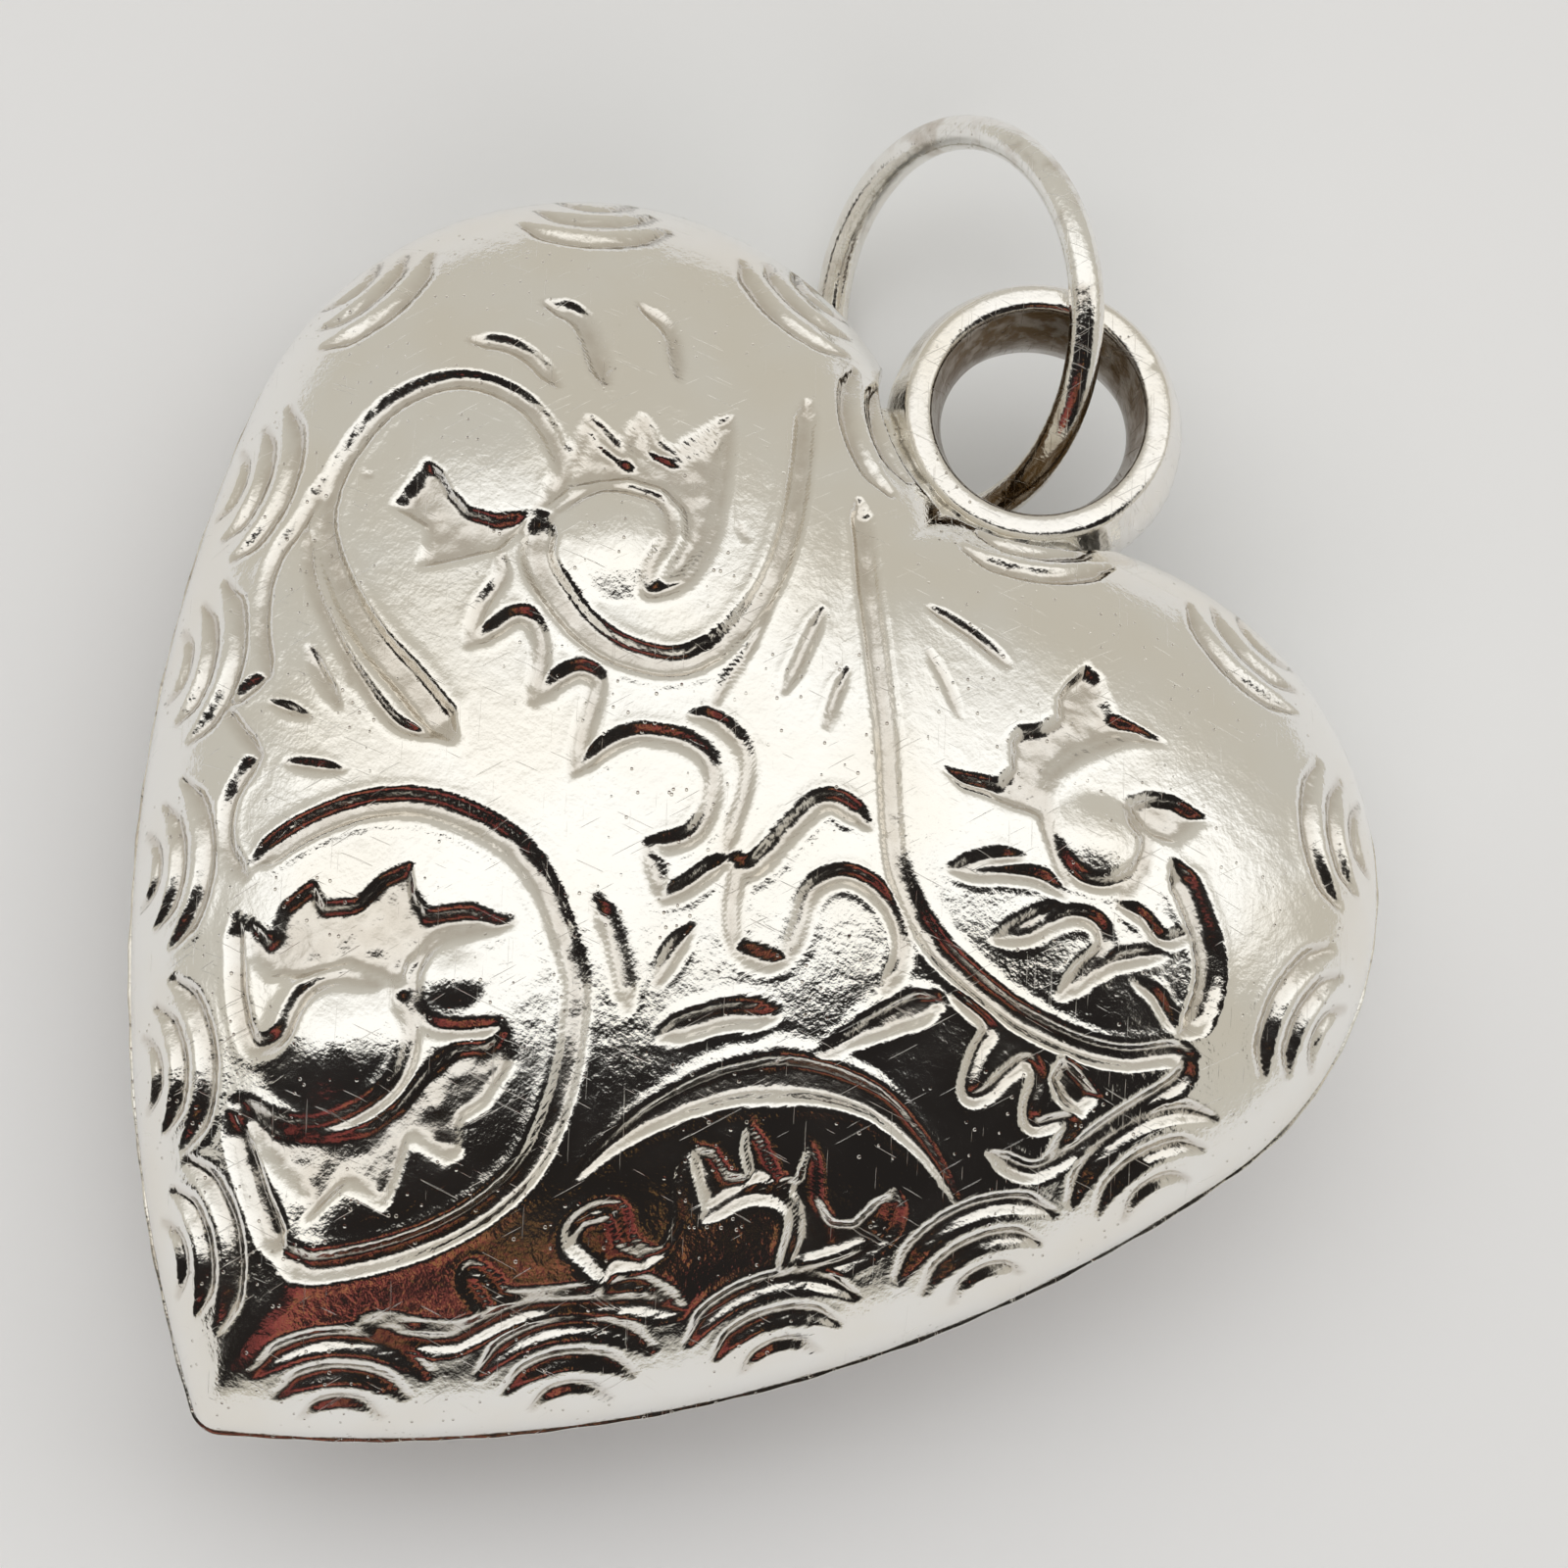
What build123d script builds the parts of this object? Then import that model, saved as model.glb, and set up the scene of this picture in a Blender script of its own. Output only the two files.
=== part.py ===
from build123d import *
import math
import os

# A puffed heart pendant: two stamped half shells soldered rim to rim, a cast bail ring soldered
# into the cleft, and a round wire jump ring linked through the bail. The heart lies on its back:
# +Z comes out of the front shell and +Y runs from the tip towards the bail. Millimetres.

# ---- driving sizes -------------------------------------------------------------------------
lobe_radius = 10.0        # round shoulder of each lobe, seen from the front
lobe_x = 8.1              # centre of a lobe's arc, to the side of the middle line
lobe_to_tip = 26.2        # from the line of the lobe centres down to the heart's point
flank_radius = 42.0       # long flat arc of each side, tangent to the lobe
tip_radius = 0.8          # rounding of the point
half_thickness = 6.6      # rise of each shell from the seam to the crown
shell_wall = 0.5          # sheet thickness of the stampings
seam_gap = 0.10           # solder film between the two rims
seam_bead = 0.10          # how far the solder bead stands proud of the rims

seat_bite = 1.15          # how far the bail's seat cuts into the side of each lobe
bail_half_depth = 2.05    # half of the bail ring's length along its bore
bail_throat_radius = 2.6  # tightest part of the bore, at mid depth
bail_mouth_radius = 3.1   # bore at each face: a cast wall has draft
bail_land_radius = 3.8    # outer edge of the flat front and back faces
bail_outer_radius = 4.45  # widest part, on the casting's parting line
seat_gap = 0.20           # solder gap between the bail and its seat in the shells
bail_solder_half = 1.75   # half height of the solder in the seat
bail_solder_reach = 58.0  # degrees of solder to each side of the cleft

wire_diameter = 1.0       # jump ring wire
ring_radius = 5.6         # jump ring, to the middle of the wire
ring_slit = 0.15          # slit between the two cut ends of the wire
ring_slit_turn = 250.0    # where the slit lies, round the ring's own axis
ring_clearance = 0.22     # air between the wire and the bail where they come nearest
# How the jump ring leans through the bail when the pendant is put down on its back.
ring_facing = (-0.521, -0.612, 0.596)   # straight out of the ring's flat side
ring_lean = (-3.82, 4.02, 0.78)         # from the wire inside the bail towards the ring's centre
wire_off_edge = (0.947, -0.32)          # from the bore's back edge to that wire: inwards and out
wire_off_middle = -0.18                 # that wire's place to the side of the middle line

# ---- shape of the dome -----------------------------------------------------------------------
dome_power = 2.6          # fullness: higher is flatter on top and steeper at the rim
cleft_fade = 1.2          # how soon the cleft dies away up the dome
crown_y = -2.5            # middle of the dome, from the line of the lobe centres
# The egg that the outline turns into near the crown, as shares of the outline's own sizes.
crown_width_share = 0.884   # of the widest part of a lobe
crown_above_share = 1.5     # of the way from the dome's middle to the cleft
crown_below_share = 0.845   # of the way from the dome's middle to the point
cap_share = 0.12          # the flat on the crown, as a share of the outline
section_count = 9         # outlines lofted from the rim to the crown
points_per_arc = 6        # points that carry each smooth stretch of an outline

# ---- worked out ------------------------------------------------------------------------------
seat_radius = bail_outer_radius + seat_gap
bail_height = math.sqrt((lobe_radius + seat_radius - seat_bite) ** 2 - lobe_x ** 2)
cleft_y = math.sqrt(lobe_radius ** 2 - lobe_x ** 2)
crown_half_width = crown_width_share * (lobe_x + lobe_radius)
crown_above = crown_above_share * (cleft_y - crown_y)
crown_below = crown_below_share * (crown_y + lobe_to_tip)


def unit(vector):
    """The same direction with a length of one."""
    size = math.sqrt(sum(part * part for part in vector))
    return tuple(part / size for part in vector)


def ring_centre():
    """Middle of the jump ring where its wire rests on the lower back edge of the bail's bore."""
    off = wire_diameter / 2 + ring_clearance
    wire_y = bail_height - bail_mouth_radius + off * wire_off_edge[0]
    wire_z = -bail_half_depth + off * wire_off_edge[1]
    across, along, up = unit(ring_lean)
    return (
        wire_off_middle + ring_radius * across,
        wire_y + ring_radius * along,
        wire_z + ring_radius * up,
    )


def footprint_middle():
    """Half way between the heart's point and the far side of the jump ring."""
    near = -lobe_to_tip - seam_bead
    tilt = math.sqrt(1 - unit(ring_facing)[1] ** 2)
    far = ring_centre()[1] + ring_radius * tilt + wire_diameter / 2
    return (near + far) / 2


def flank_angle():
    """How far below level the flank arc leaves the lobe, so that it runs on into the tip."""
    inner = flank_radius - lobe_radius
    outer = flank_radius - tip_radius
    drop = lobe_to_tip - tip_radius
    span = math.hypot(lobe_x, drop)
    lean = math.atan2(lobe_x, drop)
    return lean + math.asin((outer ** 2 - inner ** 2 - span ** 2) / (2 * inner * span))


def outline_arcs(inset):
    """Lobe, flank and tip arcs of the right half, drawn in by the inset.

    Each is (centre x, centre y, radius, angle where it ends), with angles turned from +Y about
    the dome's middle."""
    turn = flank_angle()
    across, down = math.cos(turn), math.sin(turn)
    flank_x = lobe_x - (flank_radius - lobe_radius) * across
    flank_y = (flank_radius - lobe_radius) * down
    tip_y = tip_radius - lobe_to_tip
    lean = math.atan2(tip_y - flank_y, -flank_x)
    join_x = lobe_x + (lobe_radius - inset) * across
    join_y = -(lobe_radius - inset) * down
    last_x = flank_x + (flank_radius - inset) * math.cos(lean)
    last_y = flank_y + (flank_radius - inset) * math.sin(lean)
    return [
        (lobe_x, 0.0, lobe_radius - inset, math.atan2(join_x, join_y - crown_y)),
        (flank_x, flank_y, flank_radius - inset, math.atan2(last_x, last_y - crown_y)),
        (0.0, tip_y, tip_radius - inset, math.pi),
    ]


def outline_reach(angle, arcs):
    """Distance from the dome's middle to the outline, at an angle turned from +Y."""
    x, y, radius, _ = next(arc for arc in arcs if angle <= arc[3] + 1e-9)
    along = x * math.sin(angle) + (y - crown_y) * math.cos(angle)
    return along + math.sqrt(max(radius ** 2 - x ** 2 - (y - crown_y) ** 2 + along ** 2, 0.0))


def egg_reach(angle):
    """Distance from the dome's middle to the plain egg that the outline fades into."""
    length = crown_above if math.cos(angle) > 0 else crown_below
    return 1 / math.hypot(math.sin(angle) / crown_half_width, math.cos(angle) / length)


def dome_section(share, height, inset):
    """Closed wire at one height of the dome: the outline shrunk to a share of its size."""
    arcs = outline_arcs(inset)
    blend = share ** cleft_fade
    angles = []
    start = 0.0
    for arc in arcs[:2]:
        step = (arc[3] - start) / points_per_arc
        angles += [start + step * i for i in range(points_per_arc)]
        start = arc[3]
    angles += [start, math.pi]
    points = []
    for angle in angles:
        egg = egg_reach(angle) - inset
        reach = share * (blend * outline_reach(angle, arcs) + (1 - blend) * egg)
        points.append((reach * math.sin(angle), crown_y + reach * math.cos(angle), height))
    right = Spline(*points)
    left = Spline(*[(-x, y, z) for x, y, z in reversed(points)])
    return Wire([right, left])


def dome(inset):
    """Solid half heart standing on the seam, drawn in all round by the inset."""
    base = seam_gap / 2
    rise = half_thickness - inset - base
    last = math.acos(cap_share ** (dome_power / 2))
    sections = []
    for i in range(section_count + 1):
        climb = last * i / section_count
        share = math.cos(climb) ** (2 / dome_power)
        height = base + rise * math.sin(climb) / math.sin(last)
        sections.append(dome_section(share, height, inset))
    return Solid.make_loft(sections)


def bail_axis_cylinder(radius):
    """Upright cylinder on the bail's axis, taller than the heart is thick."""
    return Pos(0, bail_height, 0) * Cylinder(radius, 4 * half_thickness)


def make_front_shell():
    """Stamped half shell, with the round seat for the bail pressed into its cleft."""
    hollow = dome(shell_wall) - bail_axis_cylinder(seat_radius + shell_wall)
    return dome(0) - bail_axis_cylinder(seat_radius) - hollow


def make_back_shell():
    """The same stamping turned over."""
    return mirror(make_front_shell(), about=Plane.XY)


def outline_prism(inset, half_height):
    """Flat-sided block over the whole outline, centred on the seam."""
    wire = dome_section(1.0, -half_height, inset)
    return extrude(Face(wire), amount=2 * half_height, dir=(0, 0, 1))


def make_seam_solder():
    """Film of solder between the two rims, standing a little proud as a bead."""
    hollow = outline_prism(shell_wall, seam_gap) - bail_axis_cylinder(seat_radius + shell_wall)
    band = outline_prism(-seam_bead, seam_gap / 2) - hollow
    return band - bail_axis_cylinder(seat_radius)


def make_bail_ring():
    """Cast ring, widest at mid depth, with a bore that opens out to both faces."""
    section = Polyline(
        (bail_mouth_radius, -bail_half_depth),
        (bail_land_radius, -bail_half_depth),
        (bail_outer_radius, 0),
        (bail_land_radius, bail_half_depth),
        (bail_mouth_radius, bail_half_depth),
        (bail_throat_radius, 0),
        close=True,
    )
    face = Plane.XZ * make_face(section)
    return Pos(0, bail_height, 0) * revolve(face, axis=Axis.Z)


def make_bail_solder():
    """Solder drawn into the seat between the bail's outer wall and the shells."""
    slope = (bail_outer_radius - bail_land_radius) / bail_half_depth
    top_radius = bail_outer_radius - slope * bail_solder_half
    section = Polyline(
        (top_radius, -bail_solder_half),
        (seat_radius, -bail_solder_half),
        (seat_radius, bail_solder_half),
        (top_radius, bail_solder_half),
        (bail_outer_radius, 0),
        close=True,
    )
    face = Plane.XZ * make_face(section)
    arc = revolve(face, axis=Axis.Z, revolution_arc=2 * bail_solder_reach)
    return Pos(0, bail_height, 0) * Rot(0, 0, -90 - bail_solder_reach) * arc


def make_jump_ring():
    """Round wire bent into a ring, its two cut ends almost meeting."""
    slit_turn = math.degrees(ring_slit / ring_radius)
    wire_end = Plane.XZ * Pos(ring_radius, 0) * Circle(wire_diameter / 2)
    wire = revolve(wire_end, axis=Axis.Z, revolution_arc=360 - slit_turn)
    resting = Plane(origin=ring_centre(), z_dir=unit(ring_facing))
    return resting * Rot(0, 0, ring_slit_turn) * wire


def main():
    os.makedirs("parts", exist_ok=True)
    pieces = {
        "front_shell": make_front_shell(),
        "back_shell": make_back_shell(),
        "seam_solder": make_seam_solder(),
        "bail_ring": make_bail_ring(),
        "bail_solder": make_bail_solder(),
        "jump_ring": make_jump_ring(),
    }
    # The back crown rests on the floor at zero height, and the footprint's middle is the origin.
    to_origin = Pos(0, -footprint_middle(), half_thickness)
    for name, piece in pieces.items():
        placed = to_origin * piece
        export_step(placed, f"parts/{name}.step")
        print(name, "volume", round(placed.volume, 2), placed.bounding_box())


main()
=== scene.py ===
# %% [markdown]
# # A puffed silver heart pendant
# The real pendant is two thin stamped half shells, soldered rim to rim, with a cast bail ring in
# the cleft and a wire jump ring through the bail. The front shell is worked by hand with chasing
# tools: scrolls, leaves and a scalloped border are pressed into it. This lesson loads the plain
# fixed frame first. Everything after it is measured from that frame.

# %% Load the frame
import math

import bpy
import numpy as np
from mathutils import Matrix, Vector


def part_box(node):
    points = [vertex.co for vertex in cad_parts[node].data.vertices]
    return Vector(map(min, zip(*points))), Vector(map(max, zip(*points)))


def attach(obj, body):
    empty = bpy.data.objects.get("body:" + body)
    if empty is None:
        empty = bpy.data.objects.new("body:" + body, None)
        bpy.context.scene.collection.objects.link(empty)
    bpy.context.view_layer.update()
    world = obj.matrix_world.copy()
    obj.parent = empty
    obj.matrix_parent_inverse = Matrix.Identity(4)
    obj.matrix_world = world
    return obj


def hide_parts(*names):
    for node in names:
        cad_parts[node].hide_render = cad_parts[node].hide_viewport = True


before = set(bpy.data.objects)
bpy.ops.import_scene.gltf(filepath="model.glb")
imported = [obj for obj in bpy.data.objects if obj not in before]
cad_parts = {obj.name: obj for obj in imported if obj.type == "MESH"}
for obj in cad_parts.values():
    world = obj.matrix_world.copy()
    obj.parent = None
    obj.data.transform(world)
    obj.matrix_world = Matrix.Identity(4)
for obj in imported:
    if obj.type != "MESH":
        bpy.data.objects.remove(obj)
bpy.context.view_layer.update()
print("frame nodes:", ", ".join(sorted(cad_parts)))

# %% [markdown]
# ## Sizes
# A silversmith works in millimetres, so the making is done in millimetres and only a finished
# mesh is scaled to metres. The sizes are the driving sizes of the pendant. The two places that
# tie the drawing to the frame, the height of the seam and the line of the lobe centres, are read
# from the front shell.

# %% Sizes of the pendant
MM = 0.001
lobe_radius = 10.0
lobe_x = 8.1
lobe_to_tip = 26.2
flank_radius = 42.0
tip_radius = 0.8
half_thickness = 6.6
shell_wall = 0.5
seam_gap = 0.10
seam_bead = 0.10
bail_half_depth = 2.05
bail_throat_radius = 2.6
bail_mouth_radius = 3.1
bail_land_radius = 3.8
bail_outer_radius = 4.45
seat_gap = 0.20
seat_bite = 1.15
bail_solder_reach = math.radians(58)
wire_diameter = 1.0
ring_radius = 5.6
ring_slit = 0.15
ring_slit_turn = math.radians(250)
ring_facing = np.array([-0.521, -0.612, 0.596])
dome_power = 2.6
cleft_fade = 1.2
crown_y = -2.5
crown_width_share = 0.884
crown_above_share = 1.5
crown_below_share = 0.845
cap_share = 0.12
cleft_ease = 0.10         # radians to each side of the middle line

seat_radius = bail_outer_radius + seat_gap
bail_y = math.sqrt((lobe_radius + seat_radius - seat_bite) ** 2 - lobe_x ** 2)
cleft_y = math.sqrt(lobe_radius ** 2 - lobe_x ** 2)
egg_half_width = crown_width_share * (lobe_x + lobe_radius)
egg_above = crown_above_share * (cleft_y - crown_y)
egg_below = crown_below_share * (crown_y + lobe_to_tip)

shell_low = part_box("front_shell")[0]
middle_y = shell_low.y / MM + lobe_to_tip
seam_z = shell_low.z / MM - seam_gap / 2
print(f"lobe centres at y {middle_y:.3f} mm, seam at z {seam_z:.3f} mm, bail {bail_y:.2f} above")

# %% [markdown]
# ## The outline
# Seen from the front, each side of the heart is three arcs that run into each other: a round
# lobe, a long flat flank and a tight point. Arcs keep the outline smooth, and they let any place
# on it be named by how far it lies from the point.

# %% Arcs of the outline
def flank_angle():
    """How far below level the flank leaves the lobe."""
    inner = flank_radius - lobe_radius
    outer = flank_radius - tip_radius
    drop = lobe_to_tip - tip_radius
    span = math.hypot(lobe_x, drop)
    bend = (outer ** 2 - inner ** 2 - span ** 2) / (2 * inner * span)
    return math.atan2(lobe_x, drop) + math.asin(bend)


flank_turn = flank_angle()
flank_x = lobe_x - (flank_radius - lobe_radius) * math.cos(flank_turn)
flank_y = (flank_radius - lobe_radius) * math.sin(flank_turn)
tip_y = tip_radius - lobe_to_tip
tip_turn = -math.atan2(tip_y - flank_y, -flank_x)
cleft_turn = math.atan2(cleft_y, -lobe_x)

# Centre, radius and the level angle at which each arc starts and ends, from the point upwards.
side_arcs = [
    (0.0, tip_y, tip_radius, -math.pi / 2, -tip_turn),
    (flank_x, flank_y, flank_radius, -tip_turn, -flank_turn),
    (lobe_x, 0.0, lobe_radius, -flank_turn, cleft_turn),
]
side_length = sum(radius * (end - start) for _, _, radius, start, end in side_arcs)
print(f"each side is {side_length:.1f} mm from the point to the cleft")


def on_outline(along, inset):
    """Place on the right side, by its distance from the point and its inset from the edge."""
    along = min(max(along, 0.0), side_length)
    for x, y, radius, start, end in side_arcs:
        length = radius * (end - start)
        if along <= length:
            break
        along -= length
    turn = start + min(along, length) / radius
    return x + (radius - inset) * math.cos(turn), y + (radius - inset) * math.sin(turn)


# %% [markdown]
# ## The dome
# The puffed shape comes from shrinking the outline as it climbs: near the rim it keeps the heart
# shape, and towards the crown it turns into a plain egg, so the cleft dies away softly. A turn is
# an angle from straight up, seen from the front, and a share is how much of the outline is left.

# %% Dome helpers
rise = half_thickness - seam_gap / 2
last_climb = math.acos(cap_share ** (dome_power / 2))
halvings = 24             # each one halves the doubt about where a point lies on the dome


def outline_reach(turn, inset):
    """Distance from the dome's middle to the outline in each direction."""
    sine, cosine = np.sin(turn), np.cos(turn)
    reach = np.zeros_like(turn)
    for x, y, radius, start, _ in side_arcs:
        begin_x = x + (radius - inset) * math.cos(start)
        begin_y = y + (radius - inset) * math.sin(start)
        begin = math.atan2(begin_x, begin_y - crown_y)
        along = x * sine + (y - crown_y) * cosine
        room = (radius - inset) ** 2 - x ** 2 - (y - crown_y) ** 2 + along ** 2
        far = along + np.sqrt(np.maximum(room, 0))
        reach = np.where(turn <= begin + 1e-9, far, reach)
    return reach


def dome_reach(share, turn, inset=0.0):
    """Distance from the dome's middle at a share of the outline."""
    length = np.where(np.cos(turn) > 0, egg_above, egg_below)
    egg = 1 / np.hypot(np.sin(turn) / egg_half_width, np.cos(turn) / length) - inset
    heart_part = share ** cleft_fade
    # Sheet cannot be pressed into a sharp crease, so the bottom of the cleft is a round valley.
    eased = turn + cleft_ease * np.exp(-(turn / (1.6 * cleft_ease)) ** 2)
    return share * (heart_part * outline_reach(eased, inset) + (1 - heart_part) * egg)


def dome_height(share, inset=0.0):
    """Height above the seam at a share of the outline."""
    climb = np.arccos(np.clip(share, 0, 1) ** (dome_power / 2))
    top = np.minimum(np.sin(climb) / math.sin(last_climb), 1)
    return seam_gap / 2 + (rise - inset) * top


def lift(plan):
    """Put flat drawn points onto the dome's skin."""
    turn = np.arctan2(np.abs(plan[:, 0]), plan[:, 1] - crown_y)
    wanted = np.hypot(plan[:, 0], plan[:, 1] - crown_y)
    low, high = np.zeros(len(plan)), np.ones(len(plan))
    for _ in range(halvings):
        middle = (low + high) / 2
        short = dome_reach(middle, turn) < wanted
        low = np.where(short, middle, low)
        high = np.where(short, high, middle)
    return np.column_stack([plan, dome_height(high)])


crown = lift(np.array([[0.0, crown_y], [8.0, 0.0], [0.0, -15.0]]))
print("skin heights above the seam:", np.round(crown[:, 2], 2))

# %% [markdown]
# ## A sheet of small squares
# The chased lines are only half a millimetre wide, so they need a fine, even mesh. A sphere's
# pinched poles would spoil the crown. Instead a square grid is bent into a disc: each square ring
# of the grid becomes a round one. The rings are then spread evenly along the dome's profile, so
# the steep rim gets as many as the crown.

# %% Skin of the dome
skin_rows = 300


def bent_grid(rows):
    """Distance from the middle, 0 to 1, and direction of each corner of a disc of squares."""
    line = np.linspace(-1, 1, rows + 1)
    across, along = [side.ravel() for side in np.meshgrid(line, line)]
    wide = np.abs(across) >= np.abs(along)
    ring = np.where(wide, across, along)
    other = np.where(wide, along, across)
    slant = math.pi / 4 * other / np.where(ring == 0, 1, ring)
    direction = np.where(wide, slant, math.pi / 2 - slant)
    direction = np.where(ring < 0, direction + math.pi, direction)
    return np.abs(ring), direction


def even_share(ring):
    """Share of the outline that spreads rings evenly along the dome's profile."""
    climb = np.linspace(0, math.pi / 2, 400)
    share = np.cos(climb) ** (2 / dome_power)
    step = np.hypot(np.diff(share) * (lobe_radius + lobe_x), np.diff(np.sin(climb)) * rise)
    length = np.concatenate([[0], np.cumsum(step)])
    return np.interp((1 - ring) * length[-1], length, share)


def dome_skin(ring, direction, inset=0.0):
    """Points of the dome's skin, drawn in by an inset."""
    side = np.sin(math.pi / 2 - direction)
    turn = np.arccos(np.clip(np.cos(math.pi / 2 - direction), -1, 1))
    share = even_share(ring)
    reach = dome_reach(share, turn, inset)
    x = reach * np.sin(turn) * np.sign(side)
    return np.column_stack([x, crown_y + reach * np.cos(turn), dome_height(share, inset)])


def clear_seat(points, radius):
    """Push points out of the round seat that the bail sits in."""
    away = points[:, :2] - (0.0, bail_y)
    size = np.maximum(np.linalg.norm(away, axis=1), 1e-6)
    grow = np.maximum(radius / size, 1)
    points[:, :2] = (0.0, bail_y) + away * grow[:, None]
    return points


def grid_faces(rows):
    """Corner numbers of the squares of a bent grid."""
    corner = np.arange((rows + 1) ** 2).reshape(rows + 1, rows + 1)
    return np.column_stack([
        corner[:-1, :-1].ravel(),
        corner[:-1, 1:].ravel(),
        corner[1:, 1:].ravel(),
        corner[1:, :-1].ravel(),
    ])


def skin_normals(points, faces):
    """Outward direction at each point of a mesh of squares."""
    cross = np.cross(points[faces[:, 2]] - points[faces[:, 0]],
                     points[faces[:, 3]] - points[faces[:, 1]])
    total = np.zeros_like(points)
    for corner in range(4):
        for axis in range(3):
            total[:, axis] += np.bincount(faces[:, corner], cross[:, axis], len(points))
    return total / np.maximum(np.linalg.norm(total, axis=1), 1e-12)[:, None]


grid_ring, grid_direction = bent_grid(skin_rows)
skin = dome_skin(grid_ring, grid_direction)
squares = grid_faces(skin_rows)
outward = skin_normals(skin, squares)
print("skin corners:", len(skin), "squares:", len(squares), "up at crown:", outward[len(skin) // 2])

# %% [markdown]
# ## The drawing
# The pattern is drawn flat, in millimetres from the line of the lobe centres, with a few points
# for each tool stroke. A smooth curve passes through a stroke's points. Strokes with a corner are
# split there. The left side holds a big scroll over a round flower. A stroke is its width and its
# points, and a width of three numbers swells from its start to its end.

# %% Strokes of the left side
left_strokes = [
    ((0.55, 0.62, 0.95), [
        (-8.3, -1.2), (-8.5, -0.2), (-9.3, 0.35), (-10.3, 0.72), (-11.4, 0.75), (-12.5, 0.4),
        (-13.3, -0.4), (-13.8, -1.6), (-13.8, -3.2), (-13.4, -4.6), (-12.6, -5.6),
        (-11.2, -6.5), (-9.6, -7.15), (-8, -7.5), (-6.2, -7.95)]),
    (0.40, [(-13.3, -5.6), (-12.2, -6.7), (-10.8, -7.5), (-9.4, -8.1), (-7.5, -8.6),
            (-6.2, -8.05)]),
    (0.50, [(-13.9, -4.2), (-13.6, -5.4), (-13.55, -6.5), (-13.2, -7.5), (-12.4, -8.6),
            (-11.4, -9.5)]),
    (0.45, [(-11.4, -9.5), (-11.9, -10.85)]),
    (0.45, [(-11.9, -10.85), (-11.2, -11.1), (-10.1, -11.4)]),
    (0.50, [(-10.1, -11.4), (-10.1, -12.2), (-9.9, -13), (-9.2, -13.9), (-8.2, -14.3)]),
    (0.65, [(-8.2, -13.8), (-7.7, -12.4), (-6.8, -11), (-5.6, -10), (-4.2, -9.5), (-2.8, -9.35),
            (-1.4, -9.7), (-0.2, -10.4), (0.9, -11.2), (1.7, -12.3), (2.3, -13.4), (2.75, -14.6),
            (3, -15.8), (2.8, -17.2), (2.3, -18.5), (1.5, -19.8), (0.5, -21), (-0.1, -21.5),
            (-0.9, -21.6)]),
    (0.70, [(-0.9, -21.6), (-2.2, -20.9), (-3.3, -20.2), (-4.3, -19.6)]),
    (0.50, [(-2.9, -14.3), (-1.9, -14.8), (-1.35, -15.6), (-1.2, -16.5), (-1.5, -17.5),
            (-2.1, -18.4), (-3.1, -19), (-4.5, -19.2)]),
    (0.50, [(-7.7, -15.3), (-7, -16.1), (-6.3, -16.9), (-5.4, -17.6), (-4.9, -17.7),
            (-4.5, -17.1), (-4.7, -16.3), (-4.7, -15.6), (-4.2, -14.9), (-3.3, -14.5)]),
    (0.45, [(-1.5, -11), (-2.3, -11.9), (-2.85, -12.7), (-2.75, -13.6), (-2.2, -14.3),
            (-1.4, -14.5), (-0.6, -14), (0.1, -13.3)]),
    ((0.6, 0.65, 0.9), [
        (-4.7, 5.9), (-3.6, 4.2), (-2.7, 2.6), (-2.1, 1), (-1.9, -0.5), (-2.1, -1.8),
        (-2.7, -2.7), (-3.8, -3.25), (-5, -3.4), (-6.4, -3.1), (-7.5, -2.6), (-8.1, -1.6)]),
    (0.30, [(-1.7, 0.5), (-1.3, -1), (-1.2, -2.2), (-1, -3)]),
    (0.42, [(-6, 4), (-5.2, 2.8), (-4.6, 1.8), (-4.1, 0.8), (-3.9, -0.2), (-4, -0.9),
            (-4.5, -1.5), (-4.9, -0.8), (-5, 0), (-5.3, 0.5), (-5.9, 0.8), (-6.6, 0.6),
            (-7.3, 0.2), (-7.7, -0.4), (-7.9, -1.2)]),
    (0.44, [(-6, 4), (-6.2, 3), (-6.5, 2.1)]),
    (0.46, [(-6.5, 2.1), (-7.1, 2.05), (-7.85, 2.5)]),
    (0.44, [(-7.85, 2.5), (-7.7, 1.75), (-7.4, 1.25)]),
    (0.46, [(-7.4, 1.25), (-8.2, 1.3), (-9, 1.55)]),
    (0.44, [(-9, 1.55), (-8.7, 0.8), (-8.4, -0.1)]),
    (0.22, [(-8.4, -1.3), (-8.3, -2.3)]),
    (0.22, [(-7.95, -1.2), (-7.9, -2.2)]),
]
print("strokes on the left:", len(left_strokes))

# %% [markdown]
# The middle is filled with one long wavy line, made of short bent strokes that meet in corners.
# Single blows of a straight tool, the ticks, fill the bare places beside the scrolls.

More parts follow.
